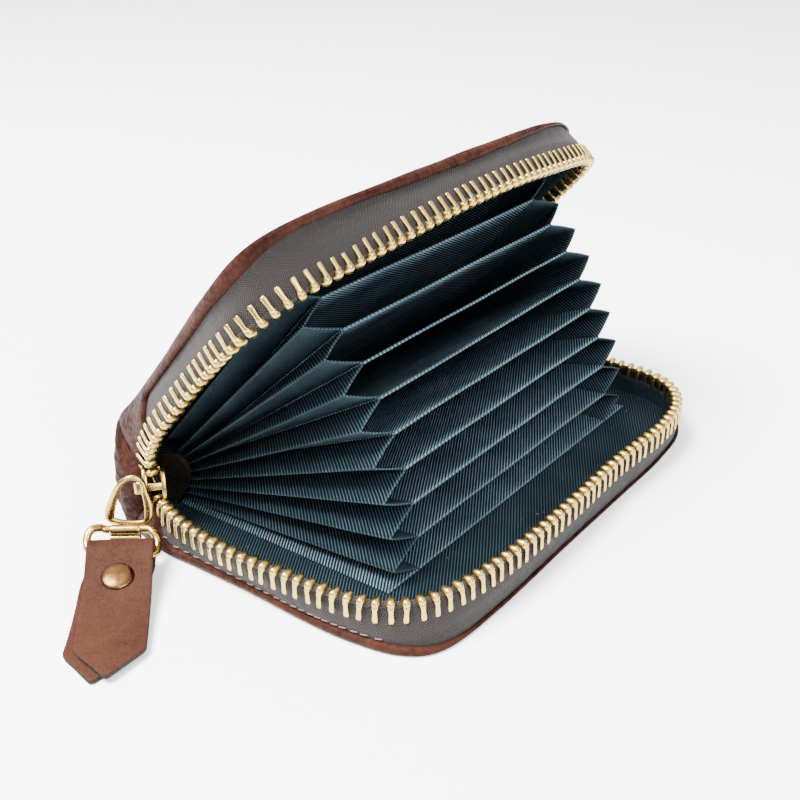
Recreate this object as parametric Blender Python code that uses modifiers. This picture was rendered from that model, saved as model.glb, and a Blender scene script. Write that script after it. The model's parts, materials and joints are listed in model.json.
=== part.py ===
"""Zip-around accordion card wallet, shown half open on its lower cover.

Metres, +Z up. The origin is the centre of the lower cover's underside. +X runs from the spine to the mouth,
+Y along the spine from the slider to the far end. The zip runs round three sides. A hinge line inside the
spine joins the lower half to the lid, and the dividers fan out between them.
"""

import math

import bmesh
import bpy
from mathutils import Matrix, Vector

# Overall sizes
WALLET_LENGTH = 0.110
COVER_DEPTH = 0.076
HALF_THICKNESS = 0.0095
NEAR_CORNER_RADIUS = 0.0130
FAR_CORNER_RADIUS = 0.0175
LID_CORNER_RADIUS = 0.0245
LID_SETBACK = 0.0010
SPINE_CORNER_RADIUS = 0.0015
GAP = 0.0003
CUT_OVERRUN = 0.002
WELD = 0.000001
ARC_STEPS = 8

# The pose: how far the lid stands open, and where its hinge line runs
OPEN_ANGLE = math.radians(46)
HINGE_INSET = 0.0010

# Covers
LEATHER_THICKNESS = 0.0011
LIP_HEIGHT = 0.0026
LIP_THICKNESS = 0.0009
BOARD_THICKNESS = 0.0006
LINING_THICKNESS = 0.0004
LINING_SPINE_INSET = 0.0024

# Spine leather, which turns half as far as the lid
SPINE_THICKNESS = 0.0011
SPINE_HALF_HEIGHT = 0.0066
SPINE_END_INSET = 0.0022
SPINE_EDGE_SHARE = 1 / 3

# Zip tape and teeth
TAPE_THICKNESS = 0.0006
TAPE_RIM = 0.0066
TAPE_SPINE_INSET = 0.0040
TOOTH_PITCH = 0.00245
TOOTH_LENGTH = 0.00115
TOOTH_WIDTH = 0.0024
TOOTH_FOOT = 0.0038
TOOTH_BRIDGE = 0.0072
CORD_RADIUS = 0.0005
ROW_START = 0.0168
ROW_END = 0.0152
ROW_PHASE = 0.25

# The closed ends of the zip, next to the spine
END_TAPE_LENGTH = 0.0090
END_TAPE_HALF_WIDTH = 0.0023
END_TEETH = 3
END_TOOTH_HALF_WIDTH = 0.0020
STOP_LENGTH = 0.0030
PATCH_THICKNESS = 0.0006
PATCH_WIDTH = 0.0060
PATCH_HALF_HEIGHT = 0.0044
PATCH_INSET = 0.0028
PATCH_REACH = 0.0075

# Slider
SLIDER_LENGTH = 0.0100
SLIDER_FRONT_HALF_WIDTH = 0.0046
SLIDER_BACK_HALF_WIDTH = 0.0034
SLIDER_SHOULDER = 0.0030
SLIDER_CHANNEL = 0.0030
SLIDER_PLATE = 0.0010
SLIDER_RIM = 0.0008
SLIDER_SLOT = 0.0014
SLIDER_INSET = 0.0043
SLIDER_WAIST_SHARE = 0.25
SLIDER_EDGE_SHARE = 0.25
POST_LENGTH = 0.0014
POST_HALF_WIDTH = 0.0016
BAIL_RADIUS = 0.0005
BAIL_RISE = 0.0026
BAIL_BACK = 0.0024
BAIL_FRONT = 0.0042
BAIL_UPRIGHT_SHARE = 0.5
BAIL_BEND_SHARE = 0.75

# Pull: stirrup, knuckle, ring and folded leather tab
PULL_TURN = math.radians(40)
WIRE_RADIUS = 0.0006
STIRRUP_WIDTH = 0.0074
STIRRUP_HEAD = 0.0020
STIRRUP_DROP = 0.0064
STIRRUP_CORNER = 0.0012
STIRRUP_CLEARANCE = 0.0004
STIRRUP_OUT_SHARE = 0.7
STIRRUP_SHOULDER_SHARE = 0.72
KNUCKLE_RADIUS = 0.0012
KNUCKLE_LENGTH = 0.0056
RING_WIRE_RADIUS = 0.0005
RING_WIDTH = 0.0138
RING_REACH = 0.0044
RING_CORNER = 0.0016
TAB_SLOPE = math.radians(9)
TAB_WIDTH = 0.0118
TAB_LENGTH = 0.0250
TAB_POINT = 0.0066
TAB_LEATHER = 0.0009
TAB_BORE = 0.0008
TAB_EYE_SHARE = 3
RIVET_RADIUS = 0.0029
RIVET_DOME = 0.0008
RIVET_SHANK_RADIUS = 0.0010
RIVET_FROM_FOLD = 0.0075
WASHER_SHARE = 0.8

# Accordion of dividers
DIVIDER_COUNT = 8
DIVIDER_STEP = math.radians(6.07)
DIVIDER_DEPTH = 0.0514
DIVIDER_END_INSET = 0.01975
DIVIDER_THICKNESS = 0.00045
PIVOT_INSET = 0.0085
FOLD_PITCH = 0.00116
GUSSET_REACH = 0.0079
GUSSET_THICKNESS = 0.00026
GUSSET_WALL_SHARE = 0.8
GUSSET_TIP_SHARE = 0.25
PANEL_THICKNESS = 0.0004
PANEL_SIDE_MARGIN = 0.0088
PANEL_RISE = 0.0024

LEATHER = ((0.24, 0.075, 0.045), 0.5, 0.0)
DARK_LEATHER = ((0.05, 0.03, 0.022), 0.6, 0.0)
BOARD = ((0.35, 0.30, 0.24), 0.8, 0.0)
LINING = ((0.012, 0.022, 0.028), 0.75, 0.0)
TAPE = ((0.085, 0.07, 0.062), 0.8, 0.0)
BRASS = ((0.85, 0.66, 0.36), 0.28, 1.0)

SPINE_X = -COVER_DEPTH / 2
END_Y = WALLET_LENGTH / 2
HINGE = Vector((SPINE_X + HINGE_INSET, 0, HALF_THICKNESS))
TAPE_INSET = LIP_THICKNESS + GAP + TAPE_THICKNESS / 2
TAPE_Y = END_Y - TAPE_INSET
INNER_INSET = LIP_THICKNESS + 2 * GAP + TAPE_THICKNESS
BOARD_LOW = LEATHER_THICKNESS + GAP
LINING_LOW = BOARD_LOW + BOARD_THICKNESS + GAP
LINING_TOP = LINING_LOW + LINING_THICKNESS
PANEL_LOW = LINING_TOP + GAP
PANEL_MID = PANEL_LOW + PANEL_THICKNESS / 2
PIVOT_X = SPINE_X + PIVOT_INSET
BACK_LIP = FOLD_PITCH - DIVIDER_THICKNESS - GAP
DIVIDER_WIDTH = WALLET_LENGTH - 2 * DIVIDER_END_INSET
SLIDER_PLACE = Vector((SLIDER_INSET + SLIDER_LENGTH / 2, 0, 0))

# Each half's depth from the spine, and its two mouth corners in the order that the half is drawn.
# The lid is drawn turned over, so its far corner comes first. The filled zip pulls that corner rounder
# than the lower one and the lid's mouth edge a little back.
LOWER_PLAN = (COVER_DEPTH, NEAR_CORNER_RADIUS, FAR_CORNER_RADIUS)
UPPER_PLAN = (COVER_DEPTH - LID_SETBACK, LID_CORNER_RADIUS, NEAR_CORNER_RADIUS)


def clear_scene():
    """Removes what the file already holds."""
    for item in list(bpy.data.objects):
        bpy.data.objects.remove(item, do_unlink=True)


def new_collection(name):
    group = bpy.data.collections.new(name)
    bpy.context.scene.collection.children.link(group)
    return group


def new_axis(name, parent, place):
    """An empty on a joint's axis, placed in its parent's frame."""
    empty = bpy.data.objects.new(name, None)
    wallet.objects.link(empty)
    empty.parent = parent
    empty.matrix_local = place
    return empty


def finish(item, name, look, parent=None):
    """Names an object, gives it its own material and puts it in the wallet's collection."""
    colour, roughness, metallic = look
    material = bpy.data.materials.new(name)
    material.use_nodes = True
    shader = material.node_tree.nodes["Principled BSDF"]
    shader.inputs["Base Color"].default_value = (*colour, 1)
    shader.inputs["Roughness"].default_value = roughness
    shader.inputs["Metallic"].default_value = metallic
    item.name = name
    item.data.name = name
    item.data.materials.clear()
    item.data.materials.append(material)
    for group in list(item.users_collection):
        group.objects.unlink(item)
    wallet.objects.link(item)
    item.parent = parent
    return item


def smooth(item, degrees=40):
    """Shades round surfaces smooth and keeps edges sharper than the angle."""
    item.data.shade_smooth()
    item.data.set_sharp_from_angle(angle=math.radians(degrees))
    return item


def as_mesh(curve_object):
    """Turns a curve object into a closed mesh object at the same place."""
    graph = bpy.context.evaluated_depsgraph_get()
    mesh = bpy.data.meshes.new_from_object(curve_object.evaluated_get(graph))
    shell = bmesh.new()
    shell.from_mesh(mesh)
    bmesh.ops.remove_doubles(shell, verts=shell.verts, dist=WELD)
    shell.to_mesh(mesh)
    shell.free()
    item = bpy.data.objects.new(curve_object.name, mesh)
    item.matrix_world = curve_object.matrix_world.copy()
    bpy.context.scene.collection.objects.link(item)
    bpy.data.objects.remove(curve_object, do_unlink=True)
    return item


def outline_solid(points, low, high):
    """A flat outline in X and Y, solid from z = low to z = high."""
    curve = bpy.data.curves.new("outline", "CURVE")
    curve.dimensions = "2D"
    curve.fill_mode = "BOTH"
    curve.extrude = (high - low) / 2
    spline = curve.splines.new("POLY")
    spline.points.add(len(points) - 1)
    for place, (x, y) in zip(spline.points, points):
        place.co = (x, y, 0, 1)
    spline.use_cyclic_u = True
    item = bpy.data.objects.new("outline", curve)
    item.location.z = (low + high) / 2
    bpy.context.scene.collection.objects.link(item)
    bpy.context.view_layer.update()
    item = as_mesh(item)
    item.data.transform(item.matrix_world)
    item.matrix_world = Matrix.Identity(4)
    return item


def wire(points, radius, cyclic=False, sides=2):
    """A round wire along a list of points."""
    curve = bpy.data.curves.new("wire", "CURVE")
    curve.dimensions = "3D"
    curve.bevel_depth = radius
    curve.bevel_resolution = sides
    curve.use_fill_caps = not cyclic
    spline = curve.splines.new("POLY")
    spline.points.add(len(points) - 1)
    for place, point in zip(spline.points, points):
        place.co = (*point, 1)
    spline.use_cyclic_u = cyclic
    item = bpy.data.objects.new("wire", curve)
    bpy.context.scene.collection.objects.link(item)
    bpy.context.view_layer.update()
    return as_mesh(item)


def box(low, high):
    """A box between two corners."""
    bpy.ops.mesh.primitive_cube_add(size=1)
    item = bpy.context.object
    size = [top - bottom for bottom, top in zip(low, high)]
    middle = [(top + bottom) / 2 for bottom, top in zip(low, high)]
    item.data.transform(Matrix.Translation(middle) @ Matrix.Diagonal((*size, 1)))
    return item


def combine(item, tool, operation):
    """Applies a Boolean with the tool to the item, and keeps the tool with the cutters."""
    change = item.modifiers.new("combine", "BOOLEAN")
    change.operation = operation
    change.object = tool
    bpy.context.view_layer.update()
    graph = bpy.context.evaluated_depsgraph_get()
    mesh = bpy.data.meshes.new_from_object(item.evaluated_get(graph))
    item.modifiers.clear()
    item.data = mesh
    for group in list(tool.users_collection):
        group.objects.unlink(tool)
    cutters.objects.link(tool)
    tool.hide_render = True
    tool.display_type = "WIRE"
    return item


def arc(centre_x, centre_y, radius, start, end, steps=ARC_STEPS):
    """Points along an arc between two angles in degrees, both ends included."""
    turns = [math.radians(start + (end - start) * i / steps) for i in range(steps + 1)]
    return [(centre_x + radius * math.cos(t), centre_y + radius * math.sin(t)) for t in turns]


def cover_outline(plan, inset, spine_inset=0.0):
    """The cover's outline: wide round corners at the mouth, small ones at the spine."""
    depth, first, last = [size - inset for size in plan]
    end_y = END_Y - inset
    spine, mouth = SPINE_X + spine_inset, SPINE_X + depth
    small = SPINE_CORNER_RADIUS
    points = arc(spine + small, -end_y + small, small, 180, 270, 3)
    points += arc(mouth - first, -end_y + first, first, -90, 0)
    points += arc(mouth - last, end_y - last, last, 0, 90)
    points += arc(spine + small, end_y - small, small, 90, 180, 3)
    return points


def rim_stretches(plan, starts):
    """The tape's path round the rim, as stretches of (x, y, heading, length, radius).

    starts are the path's two ends, counted from the spine. A straight stretch has a radius of zero.
    """
    depth, first, last = [size - TAPE_INSET for size in plan]
    first_x, last_x = [SPINE_X + start for start in starts]
    mouth = SPINE_X + depth
    quarter = math.pi / 2
    return [
        (first_x, -TAPE_Y, 0, mouth - first - first_x, 0),
        (mouth - first, -TAPE_Y, 0, quarter * first, first),
        (mouth, -TAPE_Y + first, quarter, 2 * TAPE_Y - first - last, 0),
        (mouth, TAPE_Y - last, quarter, quarter * last, last),
        (mouth - last, TAPE_Y, math.pi, mouth - last - last_x, 0),
    ]


def along_stretch(stretch, distance):
    """Place and heading at a distance along one stretch."""
    x, y, heading, _, radius = stretch
    if not radius:
        return x + distance * math.cos(heading), y + distance * math.sin(heading), heading
    turned = heading + distance / radius
    across = radius * (math.sin(turned) - math.sin(heading))
    return x + across, y - radius * (math.cos(turned) - math.cos(heading)), turned


def rim_place(stretches, distance):
    """Place and heading at a distance along the whole path."""
    number = 0
    while number < len(stretches) - 1 and distance > stretches[number][3]:
        distance -= stretches[number][3]
        number += 1
    return along_stretch(stretches[number], distance)


def rim_path(stretches):
    """The whole path as points, close together where it is round."""
    points = []
    for stretch in stretches:
        length, radius = stretch[3:]
        steps = ARC_STEPS if radius else 1
        points += [along_stretch(stretch, length * i / steps)[:2] for i in range(steps)]
    points.append(along_stretch(stretches[-1], stretches[-1][3])[:2])
    return points


def cover_leather(plan):
    """Outer leather with its edge turned up round three sides."""
    item = outline_solid(cover_outline(plan, 0), 0, LIP_HEIGHT)
    hollow = cover_outline(plan, LIP_THICKNESS, -CUT_OVERRUN)
    cutter = outline_solid(hollow, LEATHER_THICKNESS, LIP_HEIGHT + CUT_OVERRUN)
    return combine(item, cutter, "DIFFERENCE")


def tape_wall(plan):
    """Zip tape standing inside the lip, from one end of the spine to the other."""
    path = rim_path(rim_stretches(plan, (TAPE_SPINE_INSET, TAPE_SPINE_INSET)))
    mesh = bpy.data.meshes.new("tape")
    sheet = bmesh.new()
    foot = [sheet.verts.new((x, y, BOARD_LOW)) for x, y in path]
    edges = [sheet.edges.new(pair) for pair in zip(foot, foot[1:])]
    raised = bmesh.ops.extrude_edge_only(sheet, edges=edges)["geom"]
    tops = [part for part in raised if isinstance(part, bmesh.types.BMVert)]
    bmesh.ops.translate(sheet, verts=tops, vec=(0, 0, TAPE_RIM - BOARD_LOW))
    sheet.to_mesh(mesh)
    sheet.free()
    item = bpy.data.objects.new("tape", mesh)
    bpy.context.scene.collection.objects.link(item)
    shell = item.modifiers.new("thickness", "SOLIDIFY")
    shell.thickness = TAPE_THICKNESS
    shell.offset = 0
    return item


def tooth_mesh():
    """One tooth: a bridge over the tape's rim with a leg down each face, square to the path."""
    half = TOOTH_WIDTH / 2
    inner = TAPE_THICKNESS / 2 + GAP
    top = HALF_THICKNESS - GAP / 2
    profile = [(-half, TOOTH_FOOT), (-inner, TOOTH_FOOT), (-inner, TOOTH_BRIDGE), (inner, TOOTH_BRIDGE)]
    profile += [(inner, TOOTH_FOOT), (half, TOOTH_FOOT), (half, top), (-half, top)]
    item = outline_solid(profile, -TOOTH_LENGTH / 2, TOOTH_LENGTH / 2)
    upright = Matrix.Rotation(math.radians(90), 4, "X")
    across = Matrix.Rotation(math.radians(90), 4, "Z")
    item.data.transform(across @ upright)
    mesh = item.data
    bpy.data.objects.remove(item, do_unlink=True)
    return mesh


def tooth_row(stretches, phase):
    """All teeth of one row, joined by the cord that runs through their bridges."""
    length = sum(stretch[3] for stretch in stretches)
    count = int((length - TOOTH_PITCH) / TOOTH_PITCH)
    first = (length - (count - 1) * TOOTH_PITCH) / 2 + phase * TOOTH_PITCH
    pattern = tooth_mesh()
    teeth = bmesh.new()
    for index in range(count):
        x, y, heading = rim_place(stretches, first + index * TOOTH_PITCH)
        known = len(teeth.verts)
        teeth.from_mesh(pattern)
        teeth.verts.ensure_lookup_table()
        place = Matrix.Translation((x, y, 0)) @ Matrix.Rotation(heading, 4, "Z")
        bmesh.ops.transform(teeth, matrix=place, verts=teeth.verts[known:])
    mesh = bpy.data.meshes.new("teeth")
    teeth.to_mesh(mesh)
    teeth.free()
    tool = bpy.data.objects.new("teeth", mesh)
    bpy.context.scene.collection.objects.link(tool)
    height = (TOOTH_BRIDGE + HALF_THICKNESS) / 2
    path = [(x, y, height) for x, y in rim_path(stretches)]
    cord = wire(path, CORD_RADIUS, sides=0)
    return combine(cord, tool, "UNION")


def half_wallet(half, parent, plan, starts, phase):
    """One cover with its board, lining, tape and teeth, lying on its outer face."""
    inner = cover_outline(plan, INNER_INSET, LINING_SPINE_INSET)
    finish(cover_leather(plan), f"cover_{half}_leather", LEATHER, parent)
    finish(outline_solid(inner, BOARD_LOW, BOARD_LOW + BOARD_THICKNESS), f"board_{half}", BOARD, parent)
    finish(outline_solid(inner, LINING_LOW, LINING_TOP), f"lining_{half}", LINING, parent)
    finish(tape_wall(plan), f"zip_tape_{half}", TAPE, parent)
    finish(tooth_row(rim_stretches(plan, starts), phase), f"zip_teeth_{half}", BRASS, parent)


def spine_strip():
    """The spine's leather, upright between the covers' spine edges."""
    outer = -HINGE_INSET
    low = (outer, -END_Y + SPINE_END_INSET, -SPINE_HALF_HEIGHT)
    high = (outer + SPINE_THICKNESS, END_Y - SPINE_END_INSET, SPINE_HALF_HEIGHT)
    item = box(low, high)
    edge = item.modifiers.new("edge", "BEVEL")
    edge.width = SPINE_THICKNESS * SPINE_EDGE_SHARE
    edge.segments = 2
    return item


def closed_zip(side):
    """The short closed stretch of zip beside the spine: tape with meshed teeth on it."""
    y = side * TAPE_Y
    half = TAPE_THICKNESS / 2
    start = SPINE_THICKNESS - HINGE_INSET + GAP
    end = start + END_TAPE_LENGTH
    item = box((start, y - half, -END_TAPE_HALF_WIDTH), (end, y + half, END_TAPE_HALF_WIDTH))
    for index in range(END_TEETH):
        x = end - TOOTH_LENGTH - index * TOOTH_PITCH
        low = (x - TOOTH_LENGTH / 2, y - TOOTH_WIDTH / 2, -END_TOOTH_HALF_WIDTH)
        high = (x + TOOTH_LENGTH / 2, y + TOOTH_WIDTH / 2, END_TOOTH_HALF_WIDTH)
        combine(item, box(low, high), "UNION")
    return item


def end_patch(side):
    """The folded leather patch that hides the tape ends: one leg to the spine, one square to it."""
    inner = TAPE_Y - PATCH_INSET - PATCH_WIDTH
    back = SPINE_THICKNESS - HINGE_INSET + GAP
    outer = inner + PATCH_WIDTH
    turn_x, turn_y = PATCH_REACH - PATCH_THICKNESS, inner + PATCH_THICKNESS
    outline = [(back, inner), (PATCH_REACH, inner), (PATCH_REACH, outer)]
    outline += [(turn_x, outer), (turn_x, turn_y), (back, turn_y)]
    if side < 0:
        outline = [(x, -y) for x, y in reversed(outline)]
    return outline_solid(outline, -PATCH_HALF_HEIGHT, PATCH_HALF_HEIGHT)


def bottom_stop():
    """The metal stop that clamps both tapes at the far end of the zip."""
    start = SPINE_THICKNESS - HINGE_INSET + END_TAPE_LENGTH + 2 * GAP
    low = (start, TAPE_Y - TOOTH_WIDTH / 2, -END_TAPE_HALF_WIDTH)
    high = (start + STOP_LENGTH, TAPE_Y + TOOTH_WIDTH / 2, END_TAPE_HALF_WIDTH)
    item = box(low, high)
    edge = item.modifiers.new("edge", "BEVEL")
    edge.width = TAPE_THICKNESS / 2
    edge.segments = 2
    return item


def slider_outline(inset, overrun):
    """The slider's plan: narrow at the back, wide where the rows part. X along it, Y across it."""
    back = -SLIDER_LENGTH / 2 - overrun
    front = SLIDER_LENGTH / 2 + overrun
    shoulder = front - overrun - SLIDER_SHOULDER
    narrow, wide = SLIDER_BACK_HALF_WIDTH - inset, SLIDER_FRONT_HALF_WIDTH - inset
    waist = -SLIDER_LENGTH * SLIDER_WAIST_SHARE
    upper = [(front, wide), (shoulder, wide), (waist, narrow), (back, narrow)]
    return [(x, -y) for x, y in reversed(upper)] + upper


def slider_body():
    """Two plates with turned-in rims, held apart by the post, and a bail on the outer plate."""
    half_channel = SLIDER_CHANNEL / 2
    half_depth = half_channel + SLIDER_PLATE
    item = outline_solid(slider_outline(0, 0), -half_depth, half_depth)
    smooth_edge = item.modifiers.new("edge", "BEVEL")
    smooth_edge.width = SLIDER_PLATE * SLIDER_EDGE_SHARE
    smooth_edge.segments = 1
    channel = outline_solid(slider_outline(SLIDER_RIM, CUT_OVERRUN), -half_channel, half_channel)
    combine(item, channel, "DIFFERENCE")
    reach = SLIDER_LENGTH / 2 + CUT_OVERRUN
    side = SLIDER_FRONT_HALF_WIDTH + CUT_OVERRUN
    slot = box((-reach, -side, -SLIDER_SLOT / 2), (reach, side, SLIDER_SLOT / 2))
    combine(item, slot, "DIFFERENCE")
    front = SLIDER_LENGTH / 2 - POST_LENGTH / 2
    post_low = (front - POST_LENGTH, -POST_HALF_WIDTH, -half_channel - SLIDER_PLATE / 2)
    post = box(post_low, (front, POST_HALF_WIDTH, half_channel + SLIDER_PLATE / 2))
    combine(item, post, "UNION")
    foot = half_depth - SLIDER_PLATE / 2
    crown = half_depth + BAIL_RISE
    elbow = half_depth + BAIL_RISE * BAIL_UPRIGHT_SHARE
    arch = []
    for end in (-BAIL_BACK, BAIL_FRONT):
        leg = [(end, 0, foot), (end, 0, elbow), (end * BAIL_BEND_SHARE, 0, crown)]
        arch += leg if end < 0 else reversed(leg)
    combine(item, wire(arch, BAIL_RADIUS), "UNION")
    item.data.transform(Matrix.Rotation(math.radians(90), 4, "X"))
    return item


def rounded_loop(left, right, low, high, corner, steps=3):
    """A closed loop of points in X and Z with round corners."""
    points = arc(right - corner, low + corner, corner, -90, 0, steps)
    points += arc(right - corner, high - corner, corner, 0, 90, steps)
    points += arc(left + corner, high - corner, corner, 90, 180, steps)
    points += arc(left + corner, low + corner, corner, 180, 270, steps)
    return [(x, 0, z) for x, z in points]


def stirrup():
    """The D-shaped wire: a straight leg in the bail, a round shoulder and a straight bar below."""
    left, low, high = -STIRRUP_WIDTH, -STIRRUP_DROP, STIRRUP_HEAD
    corner = STIRRUP_CORNER
    shoulder = STIRRUP_WIDTH * STIRRUP_SHOULDER_SHARE
    points = arc(-corner, low + corner, corner, -90, 0, 3)
    points += arc(-corner, high - corner, corner, 0, 90, 3)
    foot = low + 2 * corner
    points += [(left + shoulder * (1 + x), foot + (high - foot) * z) for x, z in arc(0, 0, 1, 100, 176, 6)]
    points += arc(left + corner, low + corner, corner, 180, 270, 3)
    return wire([(x, 0, z) for x, z in points], WIRE_RADIUS, cyclic=True)


def ring():
    """The rounded ring that joins the knuckle to the tab, drawn hanging down from its upper bar."""
    half = RING_WIDTH / 2
    points = rounded_loop(-half, half, -RING_REACH, 0, RING_CORNER)
    return wire(points, RING_WIRE_RADIUS, cyclic=True)


def knuckle():
    """The rolled knuckle round the ring's upper bar."""
    bpy.ops.mesh.primitive_cylinder_add(vertices=20, radius=KNUCKLE_RADIUS, depth=KNUCKLE_LENGTH)
    item = bpy.context.object
    bpy.ops.mesh.primitive_cylinder_add(
        vertices=16, radius=RING_WIRE_RADIUS + GAP, depth=KNUCKLE_LENGTH + CUT_OVERRUN
    )
    combine(item, bpy.context.object, "DIFFERENCE")
    item.data.transform(Matrix.Rotation(math.radians(90), 4, "Y"))
    return item


def tab_leather():
    """One strip folded over the ring's lower bar: two layers in contact with the fold, pointed at the end.

    X across the tab, -Z along it, Y through it, with the fold's centre at the origin.
    """
    outer = TAB_BORE + TAB_LEATHER
    end = -TAB_LENGTH - TAB_POINT
    profile = arc(0, 0, outer, 0, 180, 10)
    slit = GAP / 2
    settle = -TAB_EYE_SHARE * outer
    profile += [(-TAB_LEATHER - slit, settle), (-TAB_LEATHER - slit, end), (-slit, end), (-slit, settle)]
    profile += arc(0, 0, TAB_BORE, 180, 0, 10)
    profile += [(slit, settle), (slit, end), (TAB_LEATHER + slit, end), (TAB_LEATHER + slit, settle)]
    item = outline_solid(profile, -TAB_WIDTH / 2, TAB_WIDTH / 2)
    item.data.transform(Matrix.Rotation(math.radians(90), 4, "Z"))
    item.data.transform(Matrix.Rotation(math.radians(90), 4, "Y"))
    return item


def shape_tab_end(item):
    """Cuts the tab's pointed end."""
    half = TAB_WIDTH / 2
    beyond = half + CUT_OVERRUN
    tip = -TAB_LENGTH - TAB_POINT
    past = tip - CUT_OVERRUN
    slope = TAB_POINT / half
    for side in (-1, 1):
        corner = [(0, tip), (side * beyond, tip + slope * beyond), (side * beyond, past), (0, past)]
        if side > 0:
            corner.reverse()
        cutter = outline_solid(corner, -CUT_OVERRUN - TAB_LEATHER, CUT_OVERRUN + TAB_LEATHER)
        cutter.data.transform(Matrix.Rotation(math.radians(90), 4, "X"))
        combine(item, cutter, "DIFFERENCE")
    return item


def rivet():
    """A domed rivet through both layers, with a flat washer behind."""
    face = TAB_LEATHER + GAP / 2 + GAP
    rise = RIVET_DOME
    rings = 5
    turns = [math.radians(90) * i / rings for i in range(rings + 1)]
    profile = [(RIVET_RADIUS * math.sin(t), face + rise * math.cos(t)) for t in turns]
    profile += [(RIVET_SHANK_RADIUS, face), (RIVET_SHANK_RADIUS, -face)]
    washer = RIVET_RADIUS * WASHER_SHARE
    profile += [(washer, -face), (washer, -face - rise / 2), (0, -face - rise / 2)]
    mesh = bpy.data.meshes.new("rivet")
    line = bmesh.new()
    points = [line.verts.new((x, 0, z)) for x, z in profile]
    for pair in zip(points, points[1:]):
        line.edges.new(pair)
    line.to_mesh(mesh)
    line.free()
    item = bpy.data.objects.new("rivet", mesh)
    bpy.context.scene.collection.objects.link(item)
    turn = item.modifiers.new("turn", "SCREW")
    turn.steps = 24
    turn.render_steps = 24
    turn.use_merge_vertices = True
    turn.merge_threshold = WELD
    bpy.context.view_layer.update()
    graph = bpy.context.evaluated_depsgraph_get()
    item.data = bpy.data.meshes.new_from_object(item.evaluated_get(graph))
    item.modifiers.clear()
    item.data.transform(Matrix.Rotation(math.radians(90), 4, "X"))
    return item


def rivet_hole(item):
    """Cuts the rivet's hole through both layers of the tab."""
    bpy.ops.mesh.primitive_cylinder_add(
        vertices=16, radius=RIVET_SHANK_RADIUS + GAP, depth=2 * (TAB_LEATHER + CUT_OVERRUN)
    )
    cutter = bpy.context.object
    turn = Matrix.Rotation(math.radians(90), 4, "X")
    cutter.data.transform(Matrix.Translation((0, 0, -RIVET_FROM_FOLD)) @ turn)
    return combine(item, cutter, "DIFFERENCE")


def panel_frames():
    """Pivot and tilt of the lower end panel and of each divider, from the lowest up."""
    place = Vector((PIVOT_X, 0, PANEL_MID))
    frames = [(place.copy(), 0.0)]
    for index in range(DIVIDER_COUNT):
        tilt = index * DIVIDER_STEP
        place += FOLD_PITCH * Vector((-math.sin(tilt), 0, math.cos(tilt)))
        frames.append((place.copy(), tilt + DIVIDER_STEP))
    return frames


def tilted(angle):
    """A turn that lifts the mouth side."""
    return Matrix.Rotation(-angle, 4, "Y")


def divider():
    """A stiff fabric leaf with a low lip at the back, which closes the pocket below it."""
    half = DIVIDER_THICKNESS / 2
    profile = [(0, -half - BACK_LIP), (DIVIDER_THICKNESS, -half - BACK_LIP), (DIVIDER_THICKNESS, -half)]
    profile += [(DIVIDER_DEPTH, -half), (DIVIDER_DEPTH, half), (0, half)]
    item = outline_solid(profile, -DIVIDER_WIDTH / 2, DIVIDER_WIDTH / 2)
    item.data.transform(Matrix.Rotation(math.radians(90), 4, "X"))
    return item


def gusset(side, lower, upper):
    """A pleat that closes one pocket's side: two leaves that meet in an outer fold.

    lower and upper are the (pivot, tilt) of the panels below and above the pocket.
    """
    attach = side * (DIVIDER_WIDTH / 2 + GAP)
    clear = DIVIDER_THICKNESS / 2 + GUSSET_THICKNESS / 2
    sections = []
    for reach in (DIVIDER_THICKNESS, DIVIDER_DEPTH):
        ends = []
        for (pivot, tilt), direction in ((lower, 1), (upper, -1)):
            along = Vector((math.cos(tilt), 0, math.sin(tilt)))
            normal = Vector((-math.sin(tilt), 0, math.cos(tilt)))
            ends.append(pivot + reach * along + direction * clear * normal)
        low, high = ends
        rise = (high - low) / 2
        middle = (high + low) / 2
        fold = math.sqrt(GUSSET_REACH**2 - rise.length**2)
        wall = rise.normalized() * min(GUSSET_THICKNESS, rise.length * GUSSET_WALL_SHARE)
        tip = GUSSET_THICKNESS * GUSSET_REACH / (rise.length + GUSSET_THICKNESS) / 2
        root = Vector((0, attach, 0))
        out = Vector((0, attach + side * fold, 0))
        inner = out - Vector((0, side * min(tip, fold * GUSSET_TIP_SHARE), 0))
        outside = [low + root, middle + out, high + root]
        sections.append(outside + [high - wall + root, middle + inner, low + wall + root])
    mesh = bpy.data.meshes.new("gusset")
    loft = bmesh.new()
    back, front = [[loft.verts.new(p) for p in points] for points in sections]
    for index in range(len(back)):
        loft.faces.new((back[index - 1], back[index], front[index], front[index - 1]))
    for corners in (back, front):
        lower_leaf = (corners[0], corners[1], corners[4], corners[5])
        upper_leaf = (corners[1], corners[2], corners[3], corners[4])
        loft.faces.new(lower_leaf)
        loft.faces.new(upper_leaf)
    bmesh.ops.recalc_face_normals(loft, faces=loft.faces)
    loft.to_mesh(mesh)
    loft.free()
    item = bpy.data.objects.new("gusset", mesh)
    bpy.context.scene.collection.objects.link(item)
    return item


def end_panel(low, high):
    """A flat panel of the accordion, which lies on a lining."""
    reach = END_Y - INNER_INSET - PANEL_SIDE_MARGIN
    front = PIVOT_X + DIVIDER_DEPTH
    return outline_solid([(PIVOT_X, -reach), (front, -reach), (front, reach), (PIVOT_X, reach)], low, high)


def build_halves(lid):
    """Both covers, each drawn lying on its outer face."""
    half_wallet("lower", None, LOWER_PLAN, (ROW_START, ROW_END), -ROW_PHASE)
    half_wallet("upper", lid, UPPER_PLAN, (ROW_END, ROW_START), ROW_PHASE)


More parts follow.
